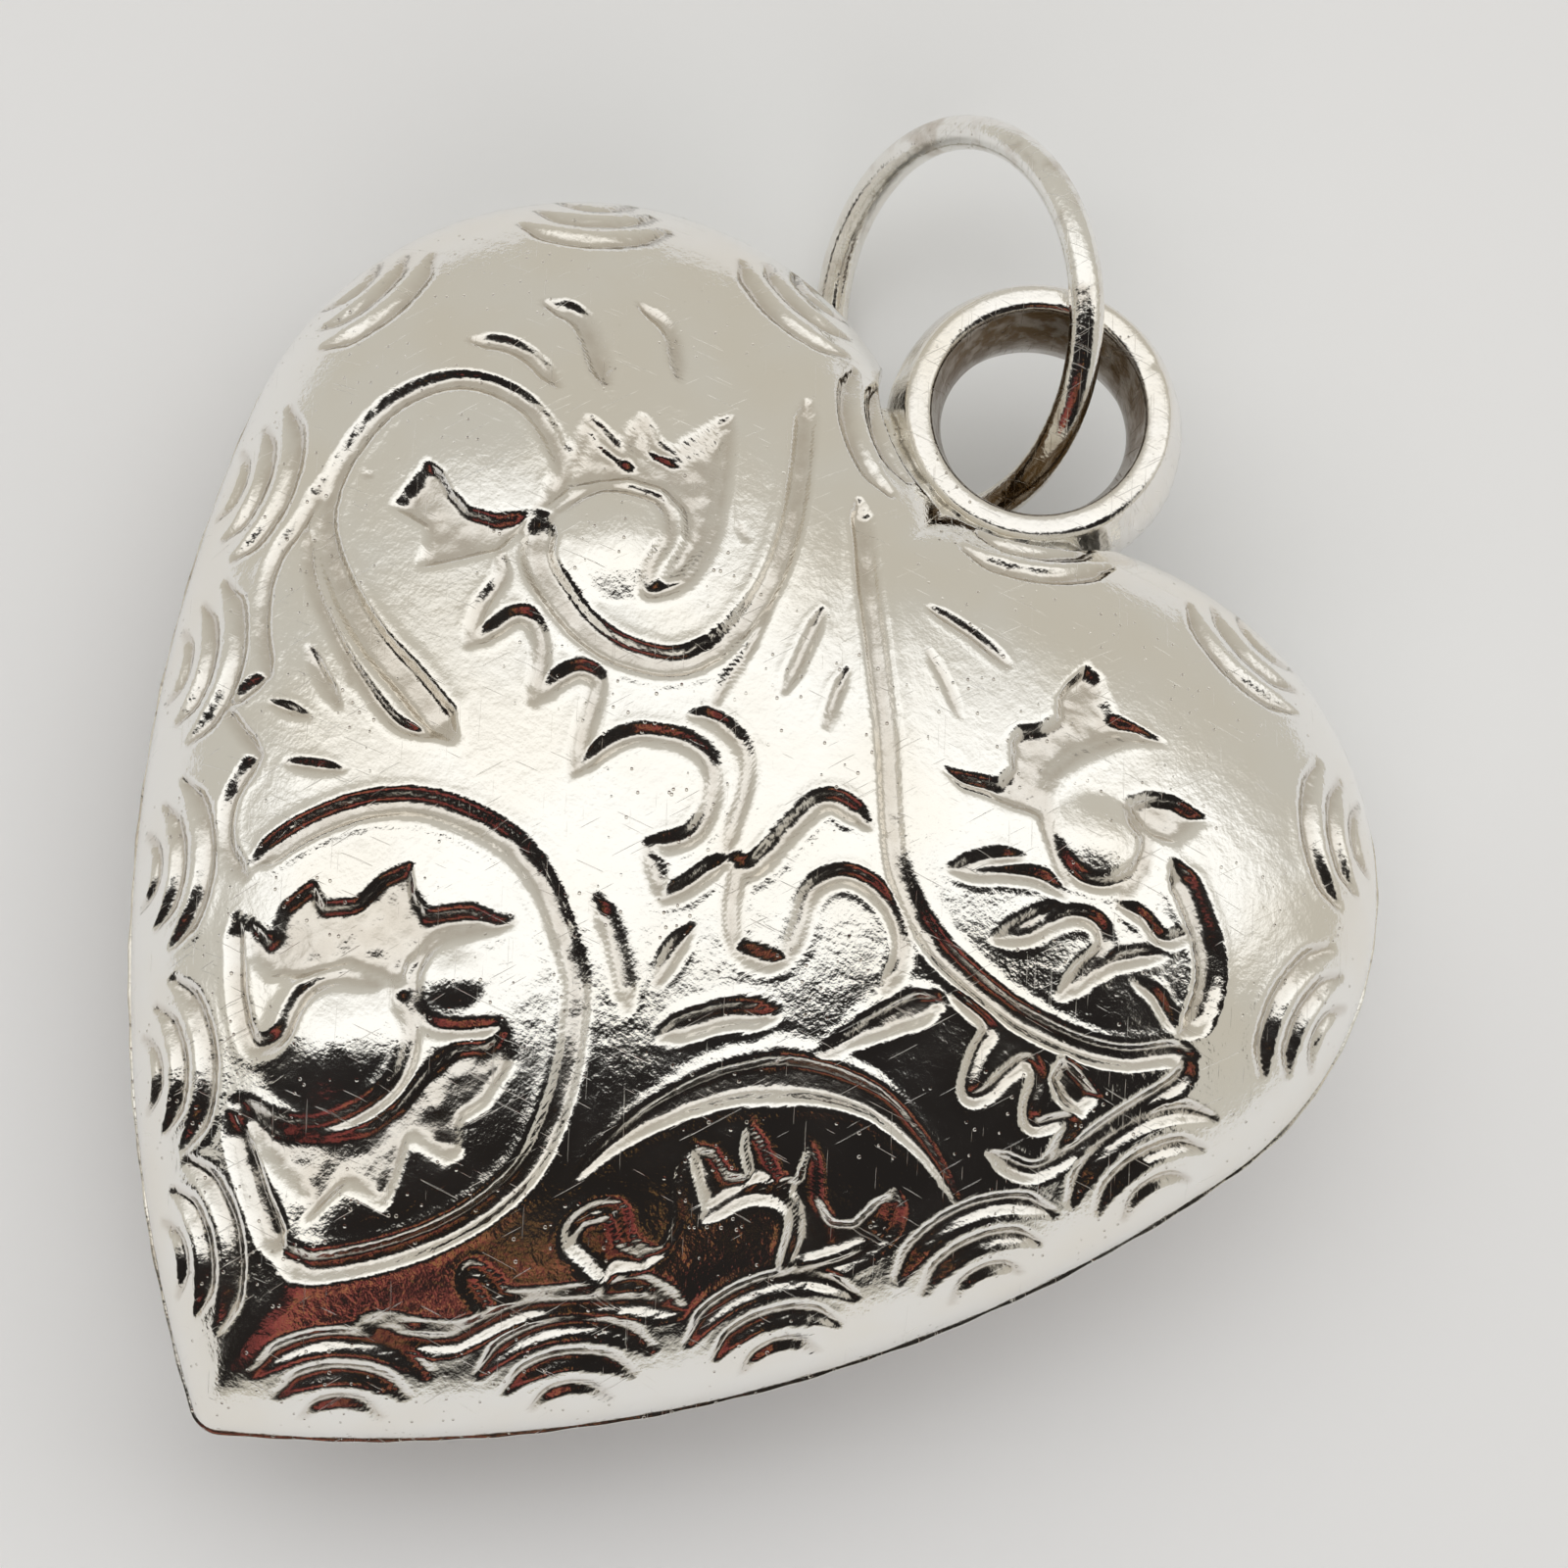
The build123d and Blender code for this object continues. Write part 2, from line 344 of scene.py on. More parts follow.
# %% Strokes of the middle
middle_strokes = [
    (0.45, [(-8.4, -3.1), (-7.9, -3.6), (-7.8, -4.6), (-7.4, -5.7)]),
    (0.50, [(-7.4, -5.7), (-7.1, -4.9), (-6.9, -4.3), (-6.5, -4.1), (-5.9, -4.4), (-5.4, -5),
            (-4.95, -5.9)]),
    (0.50, [(-4.95, -5.9), (-4.8, -5), (-4.5, -4.4), (-4, -4.3), (-3.7, -4.7), (-3.3, -5.7),
            (-2.8, -6.7)]),
    (0.50, [(-2.8, -6.7), (-2.6, -5.7), (-2.2, -4.9), (-1.5, -4.4), (-0.8, -4.15),
            (-0.1, -4.2), (0.4, -4.7), (0.7, -5.3), (0.8, -6), (0.5, -6.6), (0, -7.05)]),
    (0.50, [(0, -7.05), (0.7, -7.5), (1.3, -7.95)]),
    (0.50, [(1.3, -7.95), (1.6, -7.2), (1.8, -6.4), (2, -5.95)]),
    (0.45, [(-1.3, -3.5), (-0.9, -3.2), (0, -3.2), (0.6, -3.45), (1.1, -4.2), (1.5, -5.2),
            (1.8, -5.9)]),
    (0.55, [(1.9, -5.95), (2.5, -5.9), (2.7, -5.4), (2.75, -4.3), (2.85, -3.4), (3.1, -2.95),
            (3.7, -2.8), (4.3, -2.85)]),
    (0.50, [(2, -6), (2.4, -6.2), (2.9, -7), (3.6, -7.8)]),
    (0.50, [(3.6, -7.8), (4.5, -7.5), (4.9, -7.1)]),
    (0.50, [(4.9, -7.1), (4.6, -6.2), (4.3, -5.5), (4.3, -4.9), (4.7, -4.3), (5.4, -4.1),
            (6.2, -4.2), (6.9, -4.6), (7.3, -5.2), (7.45, -6)]),
]
short_ticks = [
    (0.45, [(-10.2, 5.3), (-9.2, 5.2), (-8.5, 4.7), (-7.9, 4.1)]),
    (0.60, [(-12.3, 3.7), (-11.4, 3.9), (-10.5, 3.5), (-9.4, 2.7)]),
    (0.50, [(-13.2, 1.5), (-12.4, 1.95), (-11.5, 2.05), (-10.4, 1.8)]),
    (0.38, [(1.75, 3.15), (3.1, 3.3), (4.4, 3.25)]),
    (0.28, [(2.5, 2.1), (3.4, 1.7), (4.3, 1.2)]),
    (0.45, [(-0.45, 1.1), (-0.2, 0.2), (0.2, -1.3)]),
    (0.40, [(1.15, 0.2), (1.35, -0.5), (1.7, -1.4)]),
    (0.45, [(-10.9, -8.3), (-10.2, -8.7), (-9.2, -9.1)]),
    (0.38, [(-10.8, -10.1), (-9.7, -9.85)]),
    (0.38, [(-9.3, -11.2), (-7.9, -10.5)]),
    (0.50, [(2.4, -8.1), (2.4, -8.9), (2.6, -9.8)]),
    (0.55, [(-0.1, -9.1), (0.9, -9.6), (1.8, -10.3), (2.4, -10.8)]),
    (0.60, [(5.6, -8.5), (4.7, -9.2), (4.1, -10), (3.6, -10.8)]),
    (0.30, [(-3.7, 1.6), (-3.3, 1.4)]),
    (0.30, [(-9.7, -8.2), (-9.3, -8.4)]),
    (0.40, [(-12.95, -3.4), (-12.85, -3.4)]),
]
print("strokes in the middle:", len(middle_strokes), "short ticks:", len(short_ticks))

# %% [markdown]
# The right side holds a long stem with a bird-like leaf, and an arched crown below it. Two of its
# strokes swell and die out, because the tool was leaned over while it was struck along.

# %% Strokes of the right side
right_strokes = [
    (0.60, [(-1.7, 4.4), (-0.9, 3.6), (0, 2.6), (1, 1.6), (2, 0.6), (3, -0.4), (3.9, -1.4),
            (4.8, -2.4), (5.6, -3.2), (6.6, -3.8), (7.8, -4.2), (9.2, -4.3), (10.6, -4.2),
            (11.8, -3.9), (12.8, -3.5), (13.7, -2.9), (14.4, -2.1), (14.9, -1.7)]),
    (0.55, [(14.9, -1.8), (15.1, -2.4), (14.8, -3.4), (14.4, -4.6), (14.1, -5.8), (13.7, -6.8),
            (13.2, -7.2), (12.4, -7.4)]),
    (0.38, [(8.85, 4.4), (8.3, 4), (7.9, 3.4), (7.5, 2.6), (7.3, 1.8), (7.4, 1.2), (8, 0.5),
            (8.7, -0.1), (9.4, -0.5)]),
    (0.42, [(7.3, 1.8), (7.5, 0.9), (8.3, 0.2), (9.4, -0.2), (10.2, 0.1), (10.6, 0.8),
            (10.6, 1.5), (10.3, 2), (9.8, 2.1), (9.3, 2.3)]),
    (0.70, [(11.4, 1.9), (12.3, 1.5), (13.3, 0.9), (14, 0.2), (14.4, -0.7), (14.4, -1.4)]),
    (0.38, [(10.8, 1.5), (10.8, 0.2)]),
    (0.45, [(8, -0.8), (7.4, -1.4), (6.8, -2.3)]),
    (0.45, [(6.8, -2.3), (7.4, -1.9), (8, -1.4), (8.8, -0.9), (9.5, -0.8)]),
    (0.45, [(9.6, -1.2), (9.2, -2.2), (8.9, -3)]),
    (0.45, [(8.9, -3), (9.5, -2.3), (9.8, -1.6), (10.2, -1), (10.8, -0.8), (11.3, -1.2),
            (11.2, -2), (11.2, -3)]),
    (0.45, [(11.2, -3), (11.6, -1.6), (12.1, -0.8), (12.6, -0.2)]),
    (0.40, [(10.9, 0), (11.6, 0.2), (12.4, 0.1), (12.9, 0.9)]),
    (0.40, [(12.6, -1.3), (13.2, -1.2), (14, -1.5)]),
    (0.45, [(9, -4.9), (10.2, -4.9), (10.4, -5.6), (10.7, -6.4), (11, -6.7), (11.3, -6.3),
            (11.4, -5.5), (11.6, -4.9), (12.1, -5.1), (12.4, -5.8), (12.8, -6.1), (13.2, -5.6),
            (13.5, -5.3), (13.7, -6), (13.7, -6.8)]),
    (0.50, [(7.5, -13.8), (7.9, -12.7), (8.6, -12.1), (9.3, -12.1), (9.7, -12.7),
            (9.9, -13.4)]),
    (0.50, [(9.9, -13.4), (10.5, -13), (11.2, -12), (11.5, -11), (11.4, -10.4), (11, -9.9)]),
    (0.25, [(6, -12.8), (6.4, -13.6), (7, -14.3), (7.2, -15.1)]),
    (0.45, [(7.2, -15.1), (6.9, -15.5), (6.2, -15.5), (5.6, -15.1), (5.1, -15.5),
            (4.9, -16.2), (5.2, -16.8)]),
    (0.50, [(6.5, -17.1), (7, -16.3), (7.7, -16), (8.5, -15.9)]),
    (0.60, [(8.5, -16), (7.6, -16.5), (6.8, -17.2), (5.9, -18), (5.2, -18.7), (4.7, -19.5),
            (4.2, -20.5), (3.3, -21.2), (2, -21.7)]),
    (0.38, [(6.4, -17), (5.4, -18), (4.6, -18.7), (4, -18.6), (3.4, -18.75), (3.6, -19.1),
            (4.3, -19.3), (4.5, -19.6), (3.8, -20.4), (2.8, -21), (2, -21.4)]),
]
swelled_strokes = [
    ((0.85, 0.6, 0.15), [(8.7, -5.4), (7.9, -6.9), (7.1, -8.8)]),
    ((0.25, 1.05, 0.25), [(12.5, -8.95), (11.2, -8.6), (10.2, -8.5), (9.2, -8.5), (8.1, -8.85),
                          (7.05, -9.45), (6.05, -10.4), (5.3, -11.5), (4.7, -12.8),
                          (4.35, -14), (4.15, -15.3)]),
]
print("strokes on the right:", len(right_strokes) + len(swelled_strokes))

# %% [markdown]
# Between the strokes lie leaves. On the real heart a leaf is sunk: its edge is punched straight
# down and its bed is beaten rough with a matting punch. Each is drawn as its outline.

# %% Sunken leaves
sunken_leaves = [
    [(-11.8, -2.1), (-11.2, -2.1), (-10.6, -2.4), (-9.9, -2.55), (-9.2, -2.3), (-8.7, -1.8),
     (-8.4, -1.4), (-8.3, -2.4), (-8.4, -3.1), (-9, -3.8), (-9.5, -4.4), (-10, -4.9),
     (-10.3, -4.2), (-10.7, -3.8), (-11.3, -3.85), (-11.8, -3.9)],
    [(-6, 4), (-6.15, 3.2), (-6.5, 2.1), (-7, 2), (-7.85, 2.5), (-7.7, 1.7), (-7.4, 1.25),
     (-8.2, 1.3), (-9, 1.55), (-8.7, 0.8), (-8.4, -0.1), (-8.1, -0.6), (-7.6, 0), (-6.9, 0.7),
     (-6.1, 1), (-5.3, 0.9), (-4.8, 0.3), (-4.6, -0.6), (-4.4, -1.3), (-3.95, -0.6), (-4, 0.6),
     (-4.5, 1.7), (-5.2, 2.8)],
    [(-7.7, -15.1), (-6.6, -15.2), (-6.9, -14.4), (-6.6, -13.3), (-5.9, -13.6), (-5.3, -13.1),
     (-5.2, -12.2), (-4.7, -11.3), (-4.1, -11.9), (-3.5, -12.1), (-2.7, -11.3), (-1.5, -11),
     (-2.2, -11.9), (-2.8, -12.6), (-2.9, -13.6), (-2.5, -14.2), (-3.3, -14.4), (-4.3, -14.7),
     (-5, -15.6), (-5.9, -16.2), (-6.7, -16)],
    [(0.15, -13.2), (1, -13.9), (1.15, -15.2), (0.9, -15.9), (1.45, -16.6), (1.2, -17.1),
     (0.1, -17.2), (0.45, -18), (0.8, -19.1), (-0.5, -19.2), (-0.8, -20.8), (-1.3, -20.2),
     (-2.6, -20), (-4.1, -19.6), (-4.5, -19.1), (-3, -19), (-2, -18.4), (-1.2, -17.6),
     (-0.9, -16.6), (-0.9, -15.5), (-0.6, -14.4), (0, -13.9)],
    [(5.95, 4.85), (6.6, 4.8), (7.1, 4.4), (7.5, 4.2), (8.2, 4.4), (8.85, 4.4), (8.3, 4),
     (7.9, 3.4), (7.5, 2.6), (7.3, 1.8), (7.4, 1.2), (8, 0.5), (7, 0.05), (6.3, -0.15),
     (5.6, -0.45), (4.7, -0.3), (5.5, 0.1), (6.2, 0.5), (6.2, 1), (5.7, 1.6), (5.7, 2.1),
     (6.1, 2.5), (6.25, 3), (5.9, 3.5), (5.85, 4)],
    [(9.2, 2.4), (9.6, 3.1), (10.2, 3.5), (11.25, 3.65), (11.2, 3), (11.1, 2.4), (10.4, 2),
     (9.7, 2.1)],
    [(5.8, -12.6), (6.6, -12.2), (7.3, -12.4), (7.6, -12.2), (7.1, -11.8), (6.65, -11),
     (7.6, -11.2), (8.4, -11.6), (8.7, -11.4), (8.3, -10.2), (9, -10.6), (9.6, -11.3),
     (10.2, -11.5), (10.6, -11.2), (10.7, -10.4), (11, -9.8), (11.5, -10.6), (11.4, -11.4),
     (10.8, -12.4), (10.3, -13.1), (9.9, -13.3), (9.7, -12.6), (9.3, -12.1), (8.8, -11.9),
     (8.1, -12.2), (7.9, -12.8), (7.5, -13.8)],
    [(4.95, -16.8), (4.9, -15.9), (5.5, -15.2), (6.2, -15.6), (7.1, -15.4), (7.2, -16),
     (6.6, -16.4), (6.8, -16.9), (6, -16.9)],
    [(12.2, -4), (13, -4.1), (13.8, -4.2), (13.7, -5.1), (13, -5.2), (12.3, -4.9)],
]
# Domed buds: middle, radius and height.
raised_buds = [
    ((-3.4, -16.4), 2.1, 0.34),
    ((-6.2, -0.9), 1.9, 0.30),
    ((9.3, 0.9), 1.4, 0.24),
    ((-1.8, -13.1), 0.95, 0.18),
    ((-10.8, -0.8), 2.6, 0.16),
]
print("sunken leaves:", len(sunken_leaves), "raised buds:", len(raised_buds))

# %% [markdown]
# ## The scalloped border
# All round the edge the same tool was struck in groups: three arcs, one inside the other, that
# bulge towards the middle of the heart. The maker spaced them by eye, so the groups sit a little
# unevenly. Each is placed by its distance from the point, along the outline.

# %% Border strokes
right_groups = [3.9, 10.2, 16.1, 22.2, 27.6, 34.6, 40.8, 47.5, 55.2]
left_groups = [4.5, 9.7, 15.5, 21.5, 27.1, 34.3, 42.3, 49.8, 55.3]
# Half length along the edge, inset of the arc's ends, inset of its middle, width.
group_arcs = [(2.4, 1.35, 2.25, 0.56), (1.75, 0.85, 1.45, 0.54), (1.05, 0.40, 0.80, 0.46)]


def border_arc(middle, side, half, end_inset, middle_inset):
    """Flat points of one border arc."""
    points = []
    for place in np.linspace(-1, 1, 9):
        inset = end_inset + (middle_inset - end_inset) * (1 - place ** 2) ** 0.75
        x, y = on_outline(middle + half * place, inset)
        points.append((side * x, y))
    return points


border_strokes = []
for side, groups in ((1, right_groups), (-1, left_groups)):
    for middle in groups:
        for half, end_inset, middle_inset, width in group_arcs:
            arc = border_arc(middle, side, half, end_inset, middle_inset)
            border_strokes.append((width, arc))
print("border strokes:", len(border_strokes))

# %% [markdown]
# ## Pressing the pattern in
# A chased line is real relief: metal pushed down along the line stands up a little in a lip
# beside it. Each corner of the fine skin looks for the nearest place on a stroke and is pushed
# in by an amount that depends on the distance. This gives true reflections at the grooves' walls,
# which a painted bump can't.

# %% Chasing helpers
seed = np.random.default_rng(7)


def smooth_run(points, spacing=0.09):
    """Smooth curve through a stroke's points (Catmull-Rom), in close steps."""
    drawn = np.array(points, float)
    before = 2 * drawn[0] - drawn[1]
    after = 2 * drawn[-1] - drawn[-2]
    knots = np.vstack([before, drawn, after])
    run = []
    for a, b, c, d in zip(knots, knots[1:], knots[2:], knots[3:]):
        steps = max(int(np.linalg.norm(c - b) / spacing), 2)
        t = np.arange(steps)[:, None] / steps
        run.append(b + (c - a) * t / 2 + (2 * a - 5 * b + 4 * c - d) * t ** 2 / 2
                   + (3 * b - a - 3 * c + d) * t ** 3 / 2)
    run.append(drawn[-1:])
    return np.vstack(run)


def nearest_on(points, run, at_once=2000):
    """Distance from each point to the run, and which of the run's points is nearest."""
    gap = np.empty(len(points))
    which = np.empty(len(points), int)
    for start in range(0, len(points), at_once):
        part = slice(start, start + at_once)
        square = ((points[part, None, :] - run[None, :, :]) ** 2).sum(2)
        which[part] = square.argmin(1)
        gap[part] = np.sqrt(square.min(1))
    return gap, which


tool_width = 1.14                 # the tool's mark is a little wider than the line it was drawn on
knock_step = 0.5                  # mm from one blow of the hammer to the next
flat_from, flat_span = 0.45, 0.3  # a groove wider than this has a flat floor
lip_share = 0.16                  # height of the lip as a share of the groove's depth
lip_place, lip_width = 1.35, 0.42   # where the lip stands and how wide it is, in half widths
lip_end = 0.06                    # mm of depth at which nothing of another stroke's lip is left
groove = np.zeros(len(skin))      # how deep each corner is pressed in, in mm
lip = np.zeros(len(skin))         # how much it stands up beside a stroke
worked = np.zeros(len(skin))      # 0 to 1, how much of a tool's mark it carries


def press(points, widths, depth_share=0.34, fade=0.45):
    """Press one stroke into the skin, as wide as its widths from its start to its end."""
    widths = np.atleast_1d(widths) * tool_width
    run = lift(smooth_run(points))
    along = np.concatenate([[0], np.cumsum(np.linalg.norm(np.diff(run, axis=0), axis=1))])
    width = np.interp(along / along[-1], np.linspace(0, 1, len(widths)), widths)
    ends = np.minimum(along, along[-1] - along)
    width = width * (0.55 + 0.45 * np.clip(ends / fade, 0, 1))
    # The blows of the hammer are never quite equal.
    knocks = np.arange(0, along[-1] + 1, knock_step)
    beat = np.interp(along, knocks, seed.uniform(0.86, 1.08, len(knocks)))
    margin = max(widths) * 1.6
    inside = np.all((skin > run.min(0) - margin) & (skin < run.max(0) + margin), axis=1)
    near = np.nonzero(inside)[0]
    gap, which = nearest_on(skin[near], run)
    half = width[which] / 2
    depth = width[which] * depth_share * beat[which]
    # A wide tool leaves a flat floor between steep walls, a narrow one a soft round valley.
    across = np.minimum(gap / half, 1)
    flat = np.clip((width[which] - flat_from) / flat_span, 0, 1)
    cut = depth * (flat * np.clip(1.45 * (1 - across ** 2), 0, 1)
                   + (1 - flat) * (0.5 + 0.5 * np.cos(math.pi * across)))
    rim = lip_share * depth * np.exp(-((gap / half - lip_place) / lip_width) ** 2)
    groove[near] = np.maximum(groove[near], cut)
    lip[near] = np.maximum(lip[near], rim)
    worked[near] = np.maximum(worked[near], np.clip(1.25 - gap / half, 0, 1))


# %% [markdown]
# The order of the work is the order on the bench: first the drawing, then the border all round,
# and last the two strokes that swell. The border tool is struck a little less deep.

# %% Chase the strokes
for width, points in left_strokes + middle_strokes + right_strokes + short_ticks:
    press(points, width)
for width, points in border_strokes:
    press(points, width, depth_share=0.32, fade=0.8)
for widths, points in swelled_strokes:
    press(points, widths, depth_share=0.28)
print(f"deepest groove {groove.max():.2f} mm, corners in grooves: {(groove > 0.02).sum()}")

# %% [markdown]
# The leaf beds are pressed with a wall all round and a floor of small punch marks. A point is
# inside a leaf if a line from it crosses the leaf's outline an odd number of times. The buds are
# low domes raised from behind, and faint dents are left in the sheet by all that work.

# %% Sink the leaves and raise the buds
leaf_depth = 0.27
leaf_wall = 0.30
punch_depth = 0.05
dent_count = 70
dent_depth = 0.045


def inside_outline(points, outline):
    """True for points inside a closed outline."""
    inside = np.zeros(len(points), bool)
    for (ax, ay), (bx, by) in zip(outline, outline[1:] + outline[:1]):
        crosses = (ay > points[:, 1]) != (by > points[:, 1])
        slope = (bx - ax) / (by - ay if by != ay else 1e-9)
        inside ^= crosses & (points[:, 0] < ax + slope * (points[:, 1] - ay))
    return inside


def edge_run(outline, spacing=0.08):
    """Close steps along a closed outline with sharp corners."""
    run = []
    for a, b in zip(outline, outline[1:] + outline[:1]):
        steps = max(int(math.dist(a, b) / spacing), 2)
        run.append(np.linspace(a, b, steps, endpoint=False))
    return np.vstack(run)


def punched_floor(points, spacing=0.55):
    """Rough floor of small overlapping punch marks, 0 to 1."""
    low = points.min(0)
    span = points.max(0) - low
    count = int(span[0] * span[1] / spacing ** 2 * 1.6) + 4
    marks = low + seed.random((count, 2)) * span
    gap, which = nearest_on(points, marks)
    depth = seed.uniform(0.4, 1.0, count)
    return depth[which] * np.clip(1 - (gap / (spacing * 0.62)) ** 2, 0, 1)


bed = np.zeros(len(skin))
for outline in sunken_leaves:
    box_low = np.min(outline, axis=0)
    box_high = np.max(outline, axis=0)
    near = np.nonzero(np.all((skin[:, :2] > box_low) & (skin[:, :2] < box_high), axis=1))[0]
    near = near[inside_outline(skin[near, :2], outline)]
    gap, _ = nearest_on(skin[near, :2], edge_run(outline))
    wall = np.clip(gap / leaf_wall, 0, 1)
    wall = wall * wall * (3 - 2 * wall)
    floor_marks = punched_floor(skin[near, :2])
    bed[near] = np.maximum(bed[near], wall * (leaf_depth + punch_depth * floor_marks))
    worked[near] = np.maximum(worked[near], wall)

bud = np.zeros(len(skin))
for middle, radius, height in raised_buds:
    away = np.linalg.norm(skin[:, :2] - middle, axis=1) / radius
    bud = np.maximum(bud, height * np.clip(1 - away ** 2, 0, 1) ** 1.3)

# Thin sheet is never perfectly true after the work: it keeps faint dents and swells.
dents = np.zeros(len(skin))
for _ in range(dent_count):
    middle = seed.uniform((-16, -22, 0), (16, 9, 8))
    radius = seed.uniform(1.5, 4.0)
    height = seed.uniform(-dent_depth, dent_depth)
    away = np.linalg.norm(skin - middle, axis=1) / radius
    dents += height * np.exp(-away ** 2 * 2)

pressed = np.maximum(groove, bed)
relief = bud + dents + lip * np.clip(1 - pressed / lip_end, 0, 1) - pressed
print(f"relief from {relief.min():.2f} to {relief.max():.2f} mm")

# %% [markdown]
# ## From points to pieces
# A mesh in Blender is a list of points and a list of faces that name their corners. One helper
# makes every piece: it scales the millimetres to metres, puts the piece in its place, and says
# which body it rides on and which piece of the frame it stands for.

# %% Mesh helper
def new_piece(name, points, faces, body, nodes):
    """Turn points in mm into a piece of the pendant."""
    placed = (np.asarray(points, float) + (0, middle_y, seam_z)) * MM
    mesh = bpy.data.meshes.new(name)
    mesh.from_pydata(placed.tolist(), [], [list(face) for face in faces])
    mesh.update()
    mesh.shade_smooth()
    piece = bpy.data.objects.new(name, mesh)
    bpy.context.scene.collection.objects.link(piece)
    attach(piece, body)
    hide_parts(*nodes)
    triangles = sum(len(face) - 2 for face in faces)
    print(f"{name}: {len(placed)} points, {triangles} triangles")
    return piece


def set_mark(piece, name, values):
    """Store one number for each point, for the materials to read."""
    mark = piece.data.attributes.new(name, "FLOAT", "POINT")
    mark.data.foreach_set("value", np.asarray(values, np.float32))


# %% [markdown]
# ## The shells
# The sheet is half a millimetre thick. Its inside is never seen, but a closed shell is a real
# solid, so an inner skin follows the outer one at the wall's distance, and the two meet at the
# rim. The inner skin needs no fine squares: it is a few rings with as many corners as the rim, so
# that each can be stitched to the next, and a flat cap closes the middle.

# %% Front shell
def rim_corners(rows):
    """Corner numbers round the edge of a bent grid, in order."""
    corner = np.arange((rows + 1) ** 2).reshape(rows + 1, rows + 1)
    return np.concatenate([
        corner[0, :-1],
        corner[:-1, -1],
        corner[-1, :0:-1],
        corner[:0:-1, 0],
    ])


def half_shell(outer):
    """Closed shell: the worked outer skin, the rim and a plain inner skin."""
    rim = rim_corners(skin_rows)
    count = len(rim)
    direction = grid_direction[rim]
    inner_rings = [0.999, 0.985, 0.95, 0.88, 0.75, 0.55, 0.3]
    points = [clear_seat(outer, seat_radius)]
    for ring in inner_rings:
        inner = dome_skin(np.full(count, ring), direction, shell_wall)
        points.append(clear_seat(inner, seat_radius + shell_wall))
    faces = squares.tolist()
    start = len(outer)
    here = np.arange(count)
    there = np.roll(here, -1)
    faces += np.column_stack([rim[there], rim[here], start + here, start + there]).tolist()
    for _ in inner_rings[1:]:
        after = start + count
        faces += np.column_stack([
            start + there, start + here, after + here, after + there]).tolist()
        start = after
    faces.append((start + here[::-1]).tolist())
    return np.vstack(points), faces


worked_skin = skin + outward * relief[:, None]
front_points, shell_faces = half_shell(worked_skin.copy())
front_shell = new_piece("front_shell_chased", front_points, shell_faces,
                        "heart", ["front_shell"])
inner_marks = np.zeros(len(front_points) - len(skin))
set_mark(front_shell, "worked", np.concatenate([worked, inner_marks]))

# %% [markdown]
# The back is the same stamping turned over, as on most puffed hearts made in one die. It is
# turned about the heart's upright middle line, so its faces keep facing out.

# %% Back shell
back_points = front_points * (-1, 1, -1)
back_shell = new_piece("back_shell_chased", back_points, shell_faces,
                       "heart", ["back_shell"])
set_mark(back_shell, "worked", np.concatenate([worked, inner_marks]))

# %% [markdown]
# ## Rings of metal
# The seam, the bail, its solder and the jump ring are all a small section carried round a path.
# One helper joins a list of sections into a closed tube, or into a rod with two closed ends.

# %% Section helper
def carried_section(sections, closed):
    """Points and faces of a section carried along a path."""
    sections = np.asarray(sections, float)
    stations, corners, _ = sections.shape
    number = np.arange(stations * corners).reshape(stations, corners)
    ahead = np.roll(number, -1, axis=0)
    if not closed:
        number, ahead = number[:-1], ahead[:-1]
    across = np.roll(number, -1, axis=1)
    across_ahead = np.roll(ahead, -1, axis=1)
    faces = np.column_stack([
        number.ravel(), across.ravel(), across_ahead.ravel(), ahead.ravel()]).tolist()
    if not closed:
        faces.append(list(range(corners))[::-1])
        last = (stations - 1) * corners
        faces.append(list(range(last, last + corners)))
    return sections.reshape(-1, 3), faces


def turned_over(faces):
    """The same faces looking the other way."""
    return [face[::-1] for face in faces]


def rounded(corners, steps=7):
    """Closed section of corners, each (x, y, how far its rounding reaches)."""
    reaches = [reach for _, _, reach in corners]
    corners = [np.array((x, y)) for x, y, _ in corners]
    befores = corners[-1:] + corners[:-1]
    afters = corners[1:] + corners[:1]
    points = []
    for before, corner, after, reach in zip(befores, corners, afters, reaches):
        to_before = np.linalg.norm(before - corner)
        to_after = np.linalg.norm(after - corner)
        back = (before - corner) / to_before
        ahead = (after - corner) / to_after
        size = min(reach, 0.48 * to_before, 0.48 * to_after)
        for t in np.linspace(0, 1, steps):
            points.append(corner + back * size * (1 - t) ** 2 + ahead * size * t ** 2)
    return np.array(points)


# %% [markdown]
# The two shells were bound with wire and heated until solder ran round the seam. It froze as a
# thin bead that stands a tenth of a millimetre proud. The bead is a small section carried round
# the outline, and its bulge swells and shrinks a little.

# %% Seam
seam_stations = 700
seam_toe = 0.06           # how far in from the edge the bead starts to bulge


def make_seam():
    """Thin bead of solder all round the outline, a little uneven as it froze."""
    sections = []
    for i in range(seam_stations):
        place = 2 * side_length * i / seam_stations
        side = 1 if place < side_length else -1
        along = place if side == 1 else 2 * side_length - place
        bulge = seam_bead * (0.75 + 0.25 * math.sin(place * 2.9) * math.sin(place * 1.3 + 1))
        half_section = [(shell_wall, 1), (seam_toe, 1), (-bulge * 0.8, 0.75)]
        lower = [(inset, -height) for inset, height in half_section]
        section = []
        for inset, height in lower + [(-bulge, 0)] + half_section[::-1]:
            x, y = on_outline(along, inset)
            section.append((max(x, 0.0) * side, y, height * seam_gap / 2))
        sections.append(section)
    points, faces = carried_section(sections, closed=True)
    corners = len(sections[0])
    for inner in (0, corners - 1):
        points[inner::corners] = clear_seat(points[inner::corners], seat_radius + shell_wall)
    points = clear_seat(points, seat_radius)
    return points, turned_over(faces)


